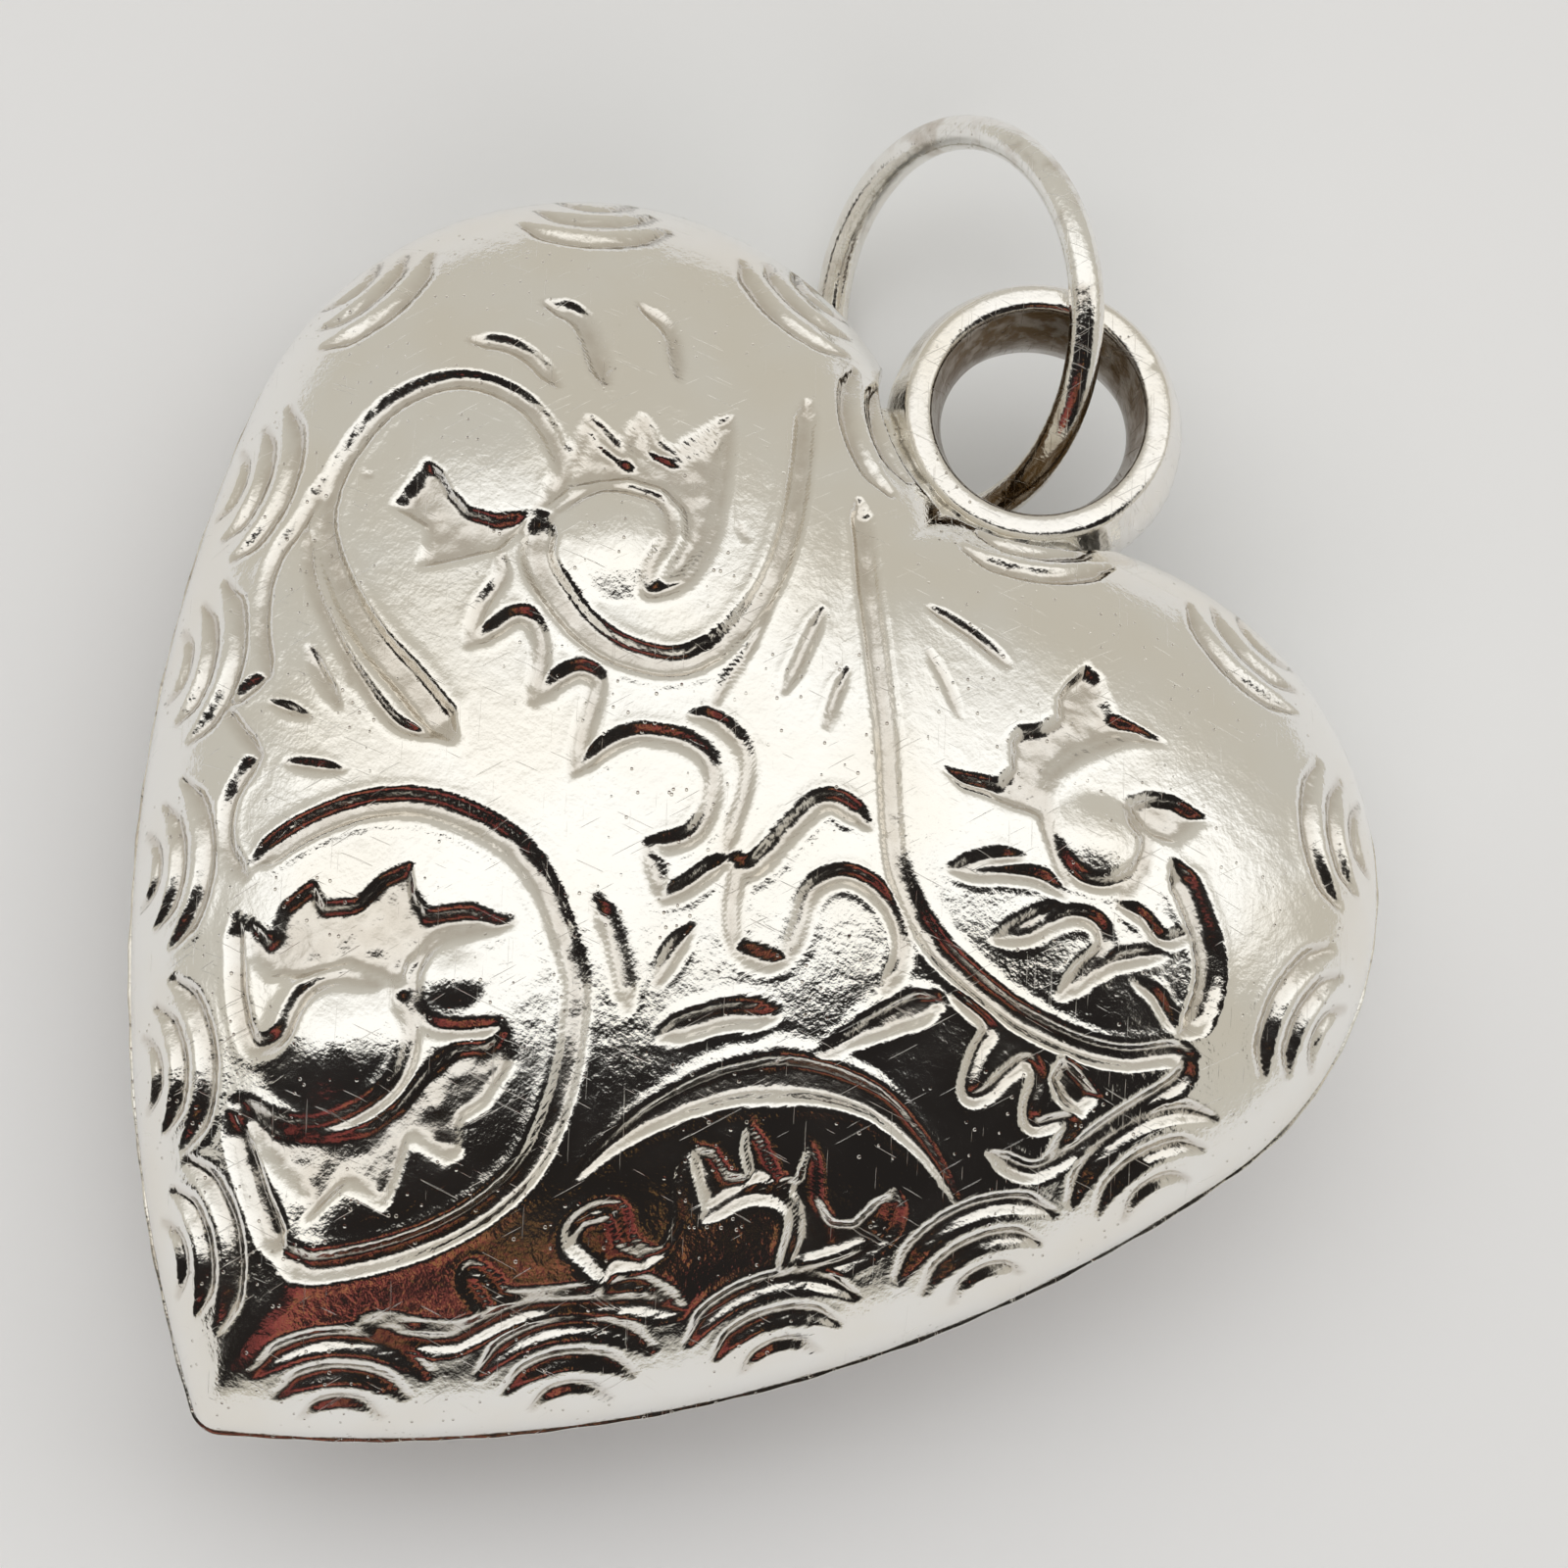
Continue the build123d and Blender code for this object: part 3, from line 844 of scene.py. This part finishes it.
seam_points, seam_faces = make_seam()
seam = new_piece("seam_bead", seam_points, seam_faces, "heart", ["seam_solder"])

# %% [markdown]
# ## The bail
# The bail is a small cast ring. A casting has draft: the bore opens towards both faces and the
# outside is widest on the parting line. The edges are softened by tumbling, the faces are filed
# flat, and one edge carries a small nick. The section is rounded, cut into short steps and then
# moved by a fine unevenness.

# %% Bail ring
bail_stations = 260
worn_edge = 0.22          # how far the rounding of each edge reaches
barrel_edge = 1.2
throat_edge = 0.9
bail_section = rounded([
    (bail_mouth_radius, -bail_half_depth, worn_edge),
    (bail_land_radius, -bail_half_depth, worn_edge),
    (bail_outer_radius, 0, barrel_edge),
    (bail_land_radius, bail_half_depth, worn_edge),
    (bail_mouth_radius, bail_half_depth, worn_edge),
    (bail_throat_radius, 0, throat_edge),
])


def cut_up(section, longest=0.16):
    """The same closed section in short steps."""
    points = []
    for a, b in zip(section, np.roll(section, -1, axis=0)):
        steps = max(int(np.ceil(np.linalg.norm(b - a) / longest)), 1)
        points.append(np.linspace(a, b, steps, endpoint=False))
    return np.vstack(points)


nick_turn = math.radians(62)
nick_depth = 0.09
nick_half_length = 0.16
nick_half_width = 0.25


def make_bail():
    """Cast ring with filed faces, slight waves, file marks on the outer wall and one nick."""
    section = cut_up(bail_section)
    sections = []
    for i in range(bail_stations):
        turn = 2 * math.pi * i / bail_stations
        radius = section[:, 0].copy()
        height = section[:, 1].copy()
        outer = np.clip((radius - bail_land_radius) / 0.5, 0, 1)
        wave = 0.012 * math.sin(5 * turn + 1) + 0.008 * math.sin(11 * turn)
        teeth = 0.018 * math.sin(64 * turn) * max(math.cos(turn + 0.1), 0) ** 2
        radius += (wave + teeth) * outer - 0.015
        height += 0.010 * math.sin(3 * turn + 2) * np.sign(height) * (np.abs(height) > 1.8)
        round_off = (turn - nick_turn) * bail_land_radius / nick_half_length
        across_off = (section[:, 0] - bail_land_radius) / nick_half_width
        nick = nick_depth * math.exp(-round_off ** 2) * np.exp(-across_off ** 2)
        height -= nick * (section[:, 1] > 1.5)
        sections.append(np.column_stack([
            radius * math.cos(turn), bail_y + radius * math.sin(turn), height]))
    points, faces = carried_section(sections, closed=True)
    return points, turned_over(faces)


bail_points, bail_faces = make_bail()
bail = new_piece("bail_casting", bail_points, bail_faces, "heart", ["bail_ring"])
bail_reach = np.hypot(bail_points[:, 0], bail_points[:, 1] - bail_y)
set_mark(bail, "worked", np.clip((bail_mouth_radius + 0.06 - bail_reach) / 0.15, 0, 1))

# %% [markdown]
# Solder was drawn into the gap between the bail and its seat. It froze with a hollow top, and it
# fell a little short at the left end, where a crevice is left. It is a section carried along the
# seat, so each step can have its own height.

# %% Bail solder
fillet_stations = 140
fillet_height = 1.9
fillet_climb = 0.35       # how much higher the solder stands against the shell than at the bail
fillet_root = 0.12        # how far the solder reaches under the edge of the shells
fillet_dip = 0.06         # how far it sinks just beside the bail


def make_bail_solder():
    """Curved strip of solder that fills the seat, lower at the left end."""
    slope = (bail_outer_radius - bail_land_radius) / bail_half_depth
    outer = seat_radius + fillet_root
    sections = []
    for place in np.linspace(-1, 1, fillet_stations):
        turn = -math.pi / 2 + place * bail_solder_reach
        full = 0.86 + 0.14 * np.clip(place * 3 + 1.9, -1, 1)
        taper = 0.3 + 0.7 * max(1 - abs(place) ** 8, 0) ** 0.5
        wave = 0.03 * math.sin(turn * 23)
        high = fillet_height * full * taper + wave
        low = -fillet_height * taper
        section = []
        for share in (-1.0, -0.5, 0.0, 0.5, 1.0):
            level = high * share if share > 0 else -low * share
            section.append((bail_outer_radius - slope * abs(level) - 0.01, level))
        inner_top = section[-1][0]
        for share in (0.25, 0.5, 0.75, 1.0):
            section.append((inner_top + (outer - inner_top) * share,
                            high - fillet_dip + (fillet_climb + fillet_dip) * share ** 1.7))
        for share in (0.5, 0.0, -0.5, -1.0):
            section.append((outer, (high if share > 0 else -low) * share))
        inner_low = section[0][0]
        section.append(((inner_low + outer) / 2, low + 0.05))
        sections.append([(r * math.cos(turn), bail_y + r * math.sin(turn), z) for r, z in section])
    return carried_section(sections, closed=False)


solder_points, solder_faces = make_bail_solder()
bail_solder = new_piece("bail_fillet", solder_points, solder_faces,
                        "heart", ["bail_solder"])

# %% [markdown]
# ## The jump ring
# Round wire bent into a ring leans through the bail. Its two cut ends almost meet. The pliers
# left them a touch flat, and the cut edges are rounded. Its middle is read from the frame, so the
# wire stays linked through the bail when the ring swings.

# %% Jump ring
wire_corners = 28
ring_stations = 300
ring_low, ring_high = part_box("jump_ring")
ring_middle = np.array((ring_low + ring_high) / 2) / MM - (0, middle_y, seam_z)


def make_jump_ring():
    """Wire ring with rounded cut ends."""
    facing = ring_facing / np.linalg.norm(ring_facing)
    level = np.cross((0, 1, 0), facing)
    level /= np.linalg.norm(level)
    upward = np.cross(facing, level)
    slit = ring_slit / ring_radius
    sections = []
    for i in range(ring_stations):
        part = i / (ring_stations - 1)
        turn = (2 * math.pi - slit) * part
        end = min(part, 1 - part) * 2 * math.pi * ring_radius
        size = wire_diameter / 2 * (1 - 0.16 * max(1 - end / 0.12, 0) ** 2)
        flat = 1 - 0.05 * math.exp(-(end / 1.2) ** 2)
        out = math.cos(turn + ring_slit_turn) * level + math.sin(turn + ring_slit_turn) * upward
        middle = ring_middle + ring_radius * out
        section = []
        for j in range(wire_corners):
            round_turn = 2 * math.pi * j / wire_corners
            section.append(middle + size * math.cos(round_turn) * out
                           + size * flat * math.sin(round_turn) * facing)
        sections.append(section)
    points, faces = carried_section(sections, closed=False)
    return points, turned_over(faces)


ring_points, ring_faces = make_jump_ring()
jump_ring = new_piece("jump_ring_wire", ring_points, ring_faces,
                      "ring", ["jump_ring"])
print("ring middle in mm:", np.round(ring_middle, 2))

# %% [markdown]
# ## Finishes
# Every piece is silver, but each is finished its own way: the shells are plated and buffed, the
# bail is cast and tumbled, the wire is drawn, and the solder is greyer. What they share are the
# marks of use: hairline scratches, tiny pits, and a warm tarnish where a cloth can't reach. Each
# of these is a node group with its own inputs, and it is placed in each finish with its own values.
# The shader stays in the finish itself.

# %% Node helpers
def fill_inputs(tree, made, values):
    """Link each input that is given a socket, and set each that is given a value."""
    for key, value in values.items():
        if isinstance(value, bpy.types.NodeSocket):
            tree.links.new(value, made.inputs[key])
        else:
            made.inputs[key].default_value = value


def add_node(tree, kind, values=None, **settings):
    """Add a node, set its options, and set or link its inputs."""
    made = tree.nodes.new(kind)
    for name, value in settings.items():
        setattr(made, name, value)
    fill_inputs(tree, made, values or {})
    return made


def do_math(tree, operation, first, second=0.0, clamp=False):
    """Output of one Math node."""
    made = add_node(tree, "ShaderNodeMath", {0: first, 1: second}, operation=operation)
    made.use_clamp = clamp
    return made.outputs[0]


def remap(tree, value, low, high, new_low=0.0, new_high=1.0, smooth=True):
    """Output of a Map Range node that holds at its ends."""
    kind = "SMOOTHSTEP" if smooth else "LINEAR"
    made = add_node(tree, "ShaderNodeMapRange", {
        "Value": value, "From Min": low, "From Max": high, "To Min": new_low, "To Max": new_high,
    }, interpolation_type=kind)
    return made.outputs["Result"]


def mix_colour(tree, share, first, second):
    """Output of a colour Mix node."""
    # A Mix node keeps its colour sockets after its number sockets, so they are named by number.
    made = add_node(tree, "ShaderNodeMix", data_type="RGBA")
    fill_inputs(tree, made, {0: share, 6: first, 7: second})
    return made.outputs[2]


def new_group(name, inputs, outputs):
    """Empty node group with named sockets."""
    group = bpy.data.node_groups.new(name, "ShaderNodeTree")
    for socket_name, kind, value in inputs:
        socket = group.interface.new_socket(socket_name, in_out="INPUT", socket_type=kind)
        if value is not None:
            socket.default_value = value
    for socket_name, kind in outputs:
        group.interface.new_socket(socket_name, in_out="OUTPUT", socket_type=kind)
    return group, group.nodes.new("NodeGroupInput").outputs, group.nodes.new("NodeGroupOutput")


# %% [markdown]
# A hairline scratch is a noise pattern pulled out very long and cut off near its top, so only a
# few thin streaks are left. Three directions are laid over each other.

# %% Hairline scratches
def make_hairlines():
    """Fine scratches: the mask of the streaks."""
    group, given, out = new_group("hairline_scratches", [
        ("Place", "NodeSocketVector", None),
        ("Fineness", "NodeSocketFloat", 18.0),
        ("Cut", "NodeSocketFloat", 0.66),
    ], [("Mask", "NodeSocketFloat")])
    total = None
    for turn, offset in ((0.4, 0.0), (1.35, 17.0), (2.5, 31.0)):
        turned = add_node(group, "ShaderNodeVectorRotate", {
            "Vector": given["Place"], "Angle": turn}, rotation_type="Z_AXIS")
        stretch = add_node(group, "ShaderNodeCombineXYZ", {
            "X": given["Fineness"], "Y": 0.45, "Z": 0.45})
        pulled = add_node(group, "ShaderNodeVectorMath", {
            0: turned.outputs[0], 1: stretch.outputs[0]}, operation="MULTIPLY")
        moved = add_node(group, "ShaderNodeVectorMath", {
            0: pulled.outputs[0], 1: (offset, offset, offset)}, operation="ADD")
        streak = add_node(group, "ShaderNodeTexNoise", {
            "Vector": moved.outputs[0], "Scale": 1.0, "Detail": 1.0})
        top = do_math(group, "ADD", given["Cut"], 0.05)
        line = remap(group, streak.outputs["Fac"], given["Cut"], top)
        total = line if total is None else do_math(group, "MAXIMUM", total, line)
    group.links.new(total, out.inputs["Mask"])
    return group


hairlines = make_hairlines()
print("group", hairlines.name, "has", len(hairlines.nodes), "nodes")

# %% [markdown]
# The pits are places where the plating is porous. They come from cells of a Voronoi pattern: the
# middle of a cell is a pit, and a slow noise decides in which patches of the metal they lie.

# %% Tiny pits
def make_pits():
    """Tiny pits in patches."""
    group, given, out = new_group("tiny_pits", [
        ("Place", "NodeSocketVector", None),
        ("Number", "NodeSocketFloat", 3.2),
        ("Size", "NodeSocketFloat", 0.16),
        ("Patches", "NodeSocketFloat", 0.45),
    ], [("Mask", "NodeSocketFloat")])
    cells = add_node(group, "ShaderNodeTexVoronoi", {
        "Vector": given["Place"], "Scale": given["Number"]})
    edge = do_math(group, "MULTIPLY", given["Size"], 0.5)
    pit = remap(group, cells.outputs["Distance"], given["Size"], edge)
    patch = add_node(group, "ShaderNodeTexNoise", {
        "Vector": given["Place"], "Scale": 0.35, "Detail": 2.0})
    upper = do_math(group, "ADD", given["Patches"], 0.12)
    where = remap(group, patch.outputs["Fac"], given["Patches"], upper)
    group.links.new(do_math(group, "MULTIPLY", pit, where), out.inputs["Mask"])
    return group


pits = make_pits()
print("group", pits.name, "has", len(pits.nodes), "nodes")

# %% [markdown]
# Silver is never one colour. It yellows a little in soft clouds, and tarnish stays in corners
# that a polishing cloth can't reach.

# %% Silver colour
def make_silver_colour():
    """Clouds of warm and cool silver, with tarnish where it is asked for."""
    group, given, out = new_group("silver_colour", [
        ("Place", "NodeSocketVector", None),
        ("Bright", "NodeSocketColor", (0.93, 0.92, 0.89, 1)),
        ("Warm", "NodeSocketColor", (0.90, 0.86, 0.78, 1)),
        ("Tarnish", "NodeSocketColor", (0.30, 0.24, 0.18, 1)),
        ("Tarnish Amount", "NodeSocketFloat", 0.0),
    ], [("Color", "NodeSocketColor")])
    clouds = add_node(group, "ShaderNodeTexNoise", {
        "Vector": given["Place"], "Scale": 0.22, "Detail": 3.0})
    share = remap(group, clouds.outputs["Fac"], 0.38, 0.66)
    base = mix_colour(group, share, given["Bright"], given["Warm"])
    breakup = add_node(group, "ShaderNodeTexNoise", {
        "Vector": given["Place"], "Scale": 1.6, "Detail": 4.0})
    patchy = remap(group, breakup.outputs["Fac"], 0.35, 0.65, 0.72, 1.0)
    amount = do_math(group, "MULTIPLY", given["Tarnish Amount"], patchy, clamp=True)
    group.links.new(mix_colour(group, amount, base, given["Tarnish"]), out.inputs["Color"])
    return group


silver_colour = make_silver_colour()
print("group", silver_colour.name, "has", len(silver_colour.nodes), "nodes")

# %% [markdown]
# ## One way to make silver
# A finish places the groups with its own values. Tarnish and pits change the colour, scratches
# and tool marks make it rougher, and a bump node adds what is too fine for the mesh, a few
# hundredths of a millimetre deep. On a chased or cast piece the tarnish follows the tool's marks.
# On wire and solder it lies in soft patches.

# %% Finish maker
pit_tarnish = 0.45        # how dark the bottom of a pit is
scratch_roughness = 0.14
tool_roughness = 0.06
bump_depth = 0.03         # mm, for a height of one
wave_height, grain_height = 0.8, 0.24
scratch_depth, pit_depth = 0.10, 0.5


def place_group(tree, group, values):
    """Put a node group into a finish."""
    return add_node(tree, "ShaderNodeGroup", values, node_tree=group)


def new_silver(name, bright, warm, tarnish, tarnish_share, roughness, scratches, pit_values,
               marked):
    """One silver finish. The place is in mm, so every scale is in marks per mm."""
    finish = bpy.data.materials.new(name)
    finish.use_nodes = True
    tree = finish.node_tree
    shader = tree.nodes["Principled BSDF"]
    where = add_node(tree, "ShaderNodeTexCoord")
    place = add_node(tree, "ShaderNodeVectorMath", {
        0: where.outputs["Object"], 1: (1 / MM,) * 3}, operation="MULTIPLY").outputs[0]
    if marked:
        mark = add_node(tree, "ShaderNodeAttribute", attribute_name="worked").outputs["Fac"]
    else:
        patch = add_node(tree, "ShaderNodeTexNoise", {"Vector": place, "Scale": 0.8, "Detail": 3.0})
        mark = remap(tree, patch.outputs["Fac"], 0.50, 0.72)
    lines = place_group(tree, hairlines, {"Place": place, **scratches}).outputs["Mask"]
    holes = place_group(tree, pits, {"Place": place, **pit_values}).outputs["Mask"]
    amount = do_math(tree, "MULTIPLY", mark, tarnish_share)
    amount = do_math(tree, "MAXIMUM", amount, do_math(tree, "MULTIPLY", holes, pit_tarnish))
    colour = place_group(tree, silver_colour, {
        "Place": place, "Bright": bright, "Warm": warm, "Tarnish": tarnish,
        "Tarnish Amount": amount})
    tree.links.new(colour.outputs["Color"], shader.inputs["Base Color"])
    shader.inputs["Metallic"].default_value = 1.0
    smear = add_node(tree, "ShaderNodeTexNoise", {"Vector": place, "Scale": 0.5, "Detail": 5.0})
    rough = remap(tree, smear.outputs["Fac"], 0.35, 0.68, *roughness, smooth=False)
    dull_lines = do_math(tree, "MULTIPLY", lines, scratch_roughness)
    dull_marks = do_math(tree, "MULTIPLY", mark, tool_roughness)
    rough = do_math(tree, "ADD", do_math(tree, "ADD", rough, dull_lines), dull_marks, clamp=True)
    tree.links.new(rough, shader.inputs["Roughness"])
    waves = add_node(tree, "ShaderNodeTexNoise", {"Vector": place, "Scale": 2.2, "Detail": 3.0})
    grain = add_node(tree, "ShaderNodeTexNoise", {"Vector": place, "Scale": 9.0, "Detail": 2.0})
    height = do_math(tree, "MULTIPLY", waves.outputs["Fac"], wave_height)
    for value, amount in ((grain.outputs["Fac"], grain_height), (lines, -scratch_depth),
                          (holes, -pit_depth)):
        height = do_math(tree, "ADD", height, do_math(tree, "MULTIPLY", value, amount))
    bump = add_node(tree, "ShaderNodeBump", {
        "Height": height, "Distance": bump_depth * MM, "Strength": 1.0})
    tree.links.new(bump.outputs["Normal"], shader.inputs["Normal"])
    print("finish", name, "has", len(tree.nodes), "nodes")
    return finish


# %% [markdown]
# ## The four finishes
# The plated shells are buffed the brightest. The casting was only tumbled, so it is duller, and
# its bore, which no cloth reaches, is brown with tarnish. The drawn wire carries the finest
# scratches. The solder has less silver in it, so it is the greyest and the most pitted.

# %% Finishes of the pieces
buffed_plate = new_silver(
    "buffed_silver_plate", (0.94, 0.93, 0.90, 1), (0.92, 0.89, 0.83, 1),
    (0.40, 0.32, 0.24, 1), 0.42, (0.07, 0.16),
    {"Fineness": 16.0, "Cut": 0.72}, {"Number": 2.8, "Size": 0.16, "Patches": 0.44}, True)
tumbled_casting = new_silver(
    "tumbled_cast_silver", (0.92, 0.90, 0.87, 1), (0.86, 0.82, 0.75, 1),
    (0.13, 0.08, 0.035, 1), 1.12, (0.10, 0.20),
    {"Fineness": 20.0, "Cut": 0.68}, {"Number": 3.4, "Size": 0.18, "Patches": 0.50}, True)
drawn_wire = new_silver(
    "drawn_silver_wire", (0.92, 0.91, 0.88, 1), (0.86, 0.83, 0.77, 1),
    (0.40, 0.31, 0.22, 1), 0.5, (0.08, 0.17),
    {"Fineness": 24.0, "Cut": 0.68}, {"Number": 3.0, "Size": 0.14, "Patches": 0.50}, False)
grey_solder = new_silver(
    "grey_silver_solder", (0.91, 0.90, 0.86, 1), (0.85, 0.81, 0.73, 1),
    (0.30, 0.24, 0.17, 1), 0.45, (0.13, 0.24),
    {"Fineness": 14.0, "Cut": 0.68}, {"Number": 3.8, "Size": 0.24, "Patches": 0.30}, False)

for piece, finish in ((front_shell, buffed_plate), (back_shell, buffed_plate),
                      (bail, tumbled_casting), (jump_ring, drawn_wire),
                      (seam, grey_solder), (bail_solder, grey_solder)):
    piece.data.materials.append(finish)

# %% [markdown]
# ## The floor
# The pendant lies on a sheet of pale, slightly cool paper. One square face is enough, because
# paper is rough and shows no relief from here.

# %% Floor
floor_size = 3.0
half_floor = floor_size / 2
floor_mesh = bpy.data.meshes.new("floor")
floor_mesh.from_pydata([(-half_floor, -half_floor, 0), (half_floor, -half_floor, 0),
                        (half_floor, half_floor, 0), (-half_floor, half_floor, 0)],
                       [], [(0, 1, 2, 3)])
floor = bpy.data.objects.new("floor", floor_mesh)
bpy.context.scene.collection.objects.link(floor)
paper = bpy.data.materials.new("pale_paper")
paper.use_nodes = True
paper_shader = paper.node_tree.nodes["Principled BSDF"]
paper_shader.inputs["Base Color"].default_value = (0.87, 0.885, 0.91, 1)
paper_shader.inputs["Roughness"].default_value = 0.9
floor_mesh.materials.append(paper)
print("floor", floor_size, "m square")

# %% [markdown]
# ## The room
# Polished silver shows the room more than itself. The room is plain and pale: a big soft light
# overhead, beige walls, a dark screen low on the viewer's side, and on it a warm reddish board
# with an ochre patch that gives the dark reflections their colour. They are painted on the world
# by direction, so no stand gets in the way of any view. A lean is how far a direction is tipped
# from overhead towards the viewer, and a side is how far it is turned to the viewer's right. The
# camera itself sees only the pale backdrop.

# %% Room
towards_viewer = (0.628, -0.778, 0.0)
beside_viewer = (0.778, 0.628, 0.0)
pale_backdrop = (0.71, 0.71, 0.71, 1)
beige_wall = (0.56, 0.535, 0.475, 1)
soft_light = (1.12, 1.11, 1.07, 1)
dark_screen = (0.016, 0.014, 0.013, 1)
warm_board = (0.27, 0.062, 0.055, 1)
ochre_patch = (0.38, 0.22, 0.07, 1)
# Angles in degrees between which each edge of the dark screen fades.
screen_top = (2, 8)
screen_foot = (74, 88)
screen_right = (40, 48)


def make_room():
    """World that is a plain studio in reflections and a pale backdrop to the camera."""
    world = bpy.data.worlds.new("soft_studio")
    bpy.context.scene.world = world
    world.use_nodes = True
    tree = world.node_tree
    background = tree.nodes["Background"]
    direction = add_node(tree, "ShaderNodeTexCoord").outputs["Generated"]

    def noise(scale, detail):
        return add_node(tree, "ShaderNodeTexNoise", {
            "Vector": direction, "Scale": scale, "Detail": detail}).outputs["Fac"]

    def part_along(axis):
        return add_node(tree, "ShaderNodeVectorMath", {0: direction, 1: axis},
                        operation="DOT_PRODUCT").outputs["Value"]

    def edge(value, fade, new_low=0.0, new_high=1.0):
        """Soft step between two angles in degrees."""
        return remap(tree, value, math.radians(fade[0]), math.radians(fade[1]), new_low, new_high)

    def all_of(*masks):
        total = masks[0]
        for mask in masks[1:]:
            total = do_math(tree, "MULTIPLY", total, mask)
        return total

    # The edges of lights and screens waver, as cloth does.
    shake = do_math(tree, "MULTIPLY", do_math(tree, "SUBTRACT", noise(2.5, 2.0), 0.5), 0.5)
    lean = do_math(tree, "ARCTAN2", part_along(towards_viewer), part_along((0, 0, 1)))
    lean = do_math(tree, "ADD", lean, shake)
    side = do_math(tree, "ARCSINE", part_along(beside_viewer))

    def band(low, high, wide, middle=0.0, soft=0.10):
        """1 between two leans, and up to so wide to each side of a middle, in degrees.

        Half the width of its soft edges is in radians."""
        low, high, wide, middle = [math.radians(angle) for angle in (low, high, wide, middle)]
        swing = do_math(tree, "ABSOLUTE", do_math(tree, "SUBTRACT", side, middle))
        swing = do_math(tree, "ADD", swing, shake)
        return all_of(remap(tree, lean, low - soft, low + soft),
                      remap(tree, lean, high - soft, high + soft, 1.0, 0.0),
                      remap(tree, swing, wide - soft, wide + soft, 1.0, 0.0))

    screen = all_of(edge(lean, screen_top), edge(lean, screen_foot, 1.0, 0.0),
                    edge(do_math(tree, "ADD", side, shake), screen_right, 1.0, 0.0))
    folds = noise(6.0, 1.0)
    board = all_of(band(39, 56, 22, middle=-20, soft=0.07), remap(tree, folds, 0.42, 0.47))
    ochre = all_of(band(36, 50, 20, middle=-8), remap(tree, folds, 0.63, 0.68))
    colour = beige_wall
    for mask, paint in ((band(-26, 8, 58, soft=0.24), soft_light), (screen, dark_screen),
                        (board, warm_board), (ochre, ochre_patch)):
        colour = mix_colour(tree, mask, colour, paint)
    seen = add_node(tree, "ShaderNodeLightPath").outputs["Is Camera Ray"]
    colour = mix_colour(tree, seen, colour, pale_backdrop)
    tree.links.new(colour, background.inputs["Color"])
    background.inputs["Strength"].default_value = 1.0
    return world


room = make_room()
print("room nodes:", len(room.node_tree.nodes))

# %% [markdown]
# ## The lamps
# Two round soft lamps light the floor, one overhead and one on the viewer's side, so the pendant
# casts a faint shadow without an edge. They stay out of the silver: its highlights come from the
# soft light painted on the room.

# %% Lamps
aim = bpy.data.objects.new("lamp_aim", None)
bpy.context.scene.collection.objects.link(aim)


def new_softbox(name, place, size, energy):
    """Round soft lamp aimed at the pendant. It lights the floor but is not seen in the silver."""
    data = bpy.data.lights.new(name, "AREA")
    data.shape = "DISK"
    data.size = size
    data.energy = energy
    data.color = (1.0, 0.98, 0.95)
    lamp = bpy.data.objects.new(name, data)
    lamp.location = place
    lamp.visible_glossy = False
    bpy.context.scene.collection.objects.link(lamp)
    track = lamp.constraints.new("TRACK_TO")
    track.target = aim
    track.track_axis = "TRACK_NEGATIVE_Z"
    track.up_axis = "UP_Y"
    print(name, "at", place)


new_softbox("overhead_softbox", (-0.15, 0.25, 0.9), 1.4, 2.6)
new_softbox("viewer_side_softbox", (0.45, -0.50, 0.60), 0.9, 2.6)

# %% [markdown]
# ## Camera
# The viewer looks down on the pendant from its right front, with the head tilted a little. Only
# four numbers say it: how far round, how high, how far away and the tilt. A long lens keeps the
# shape free of distortion.

# %% Camera
camera_round = math.radians(29.45)
camera_above = math.radians(75.50)
camera_tilt = math.radians(-9.59)
camera_distance = 166.48
camera_aim = np.array([0.982, -1.911, 0.0])

back = np.array([math.sin(camera_round) * math.cos(camera_above),
                 -math.cos(camera_round) * math.cos(camera_above),
                 math.sin(camera_above)])
level_right = np.cross(-back, (0, 0, 1))
level_right /= np.linalg.norm(level_right)
level_up = np.cross(level_right, -back)
up = math.cos(camera_tilt) * level_up + math.sin(camera_tilt) * level_right
right = np.cross(-back, up)
spot = (camera_aim + (0, middle_y, seam_z) + camera_distance * back) * MM

camera_data = bpy.data.cameras.new("camera")
camera_data.sensor_width = 36
camera_data.lens = 135
camera_data.clip_start = 0.01
camera_data.clip_end = 20
camera = bpy.data.objects.new("camera", camera_data)
turned = np.column_stack([right, up, back])
camera.matrix_world = Matrix.Translation(spot.tolist()) @ Matrix(turned.tolist()).to_4x4()
bpy.context.scene.collection.objects.link(camera)
bpy.context.scene.camera = camera
bpy.context.scene.view_settings.view_transform = "Standard"
print("camera at", np.round(spot, 3))

# %% [markdown]
# At the end the scene is brought up to date.

# %% Bring the scene up to date
bpy.context.view_layer.update()
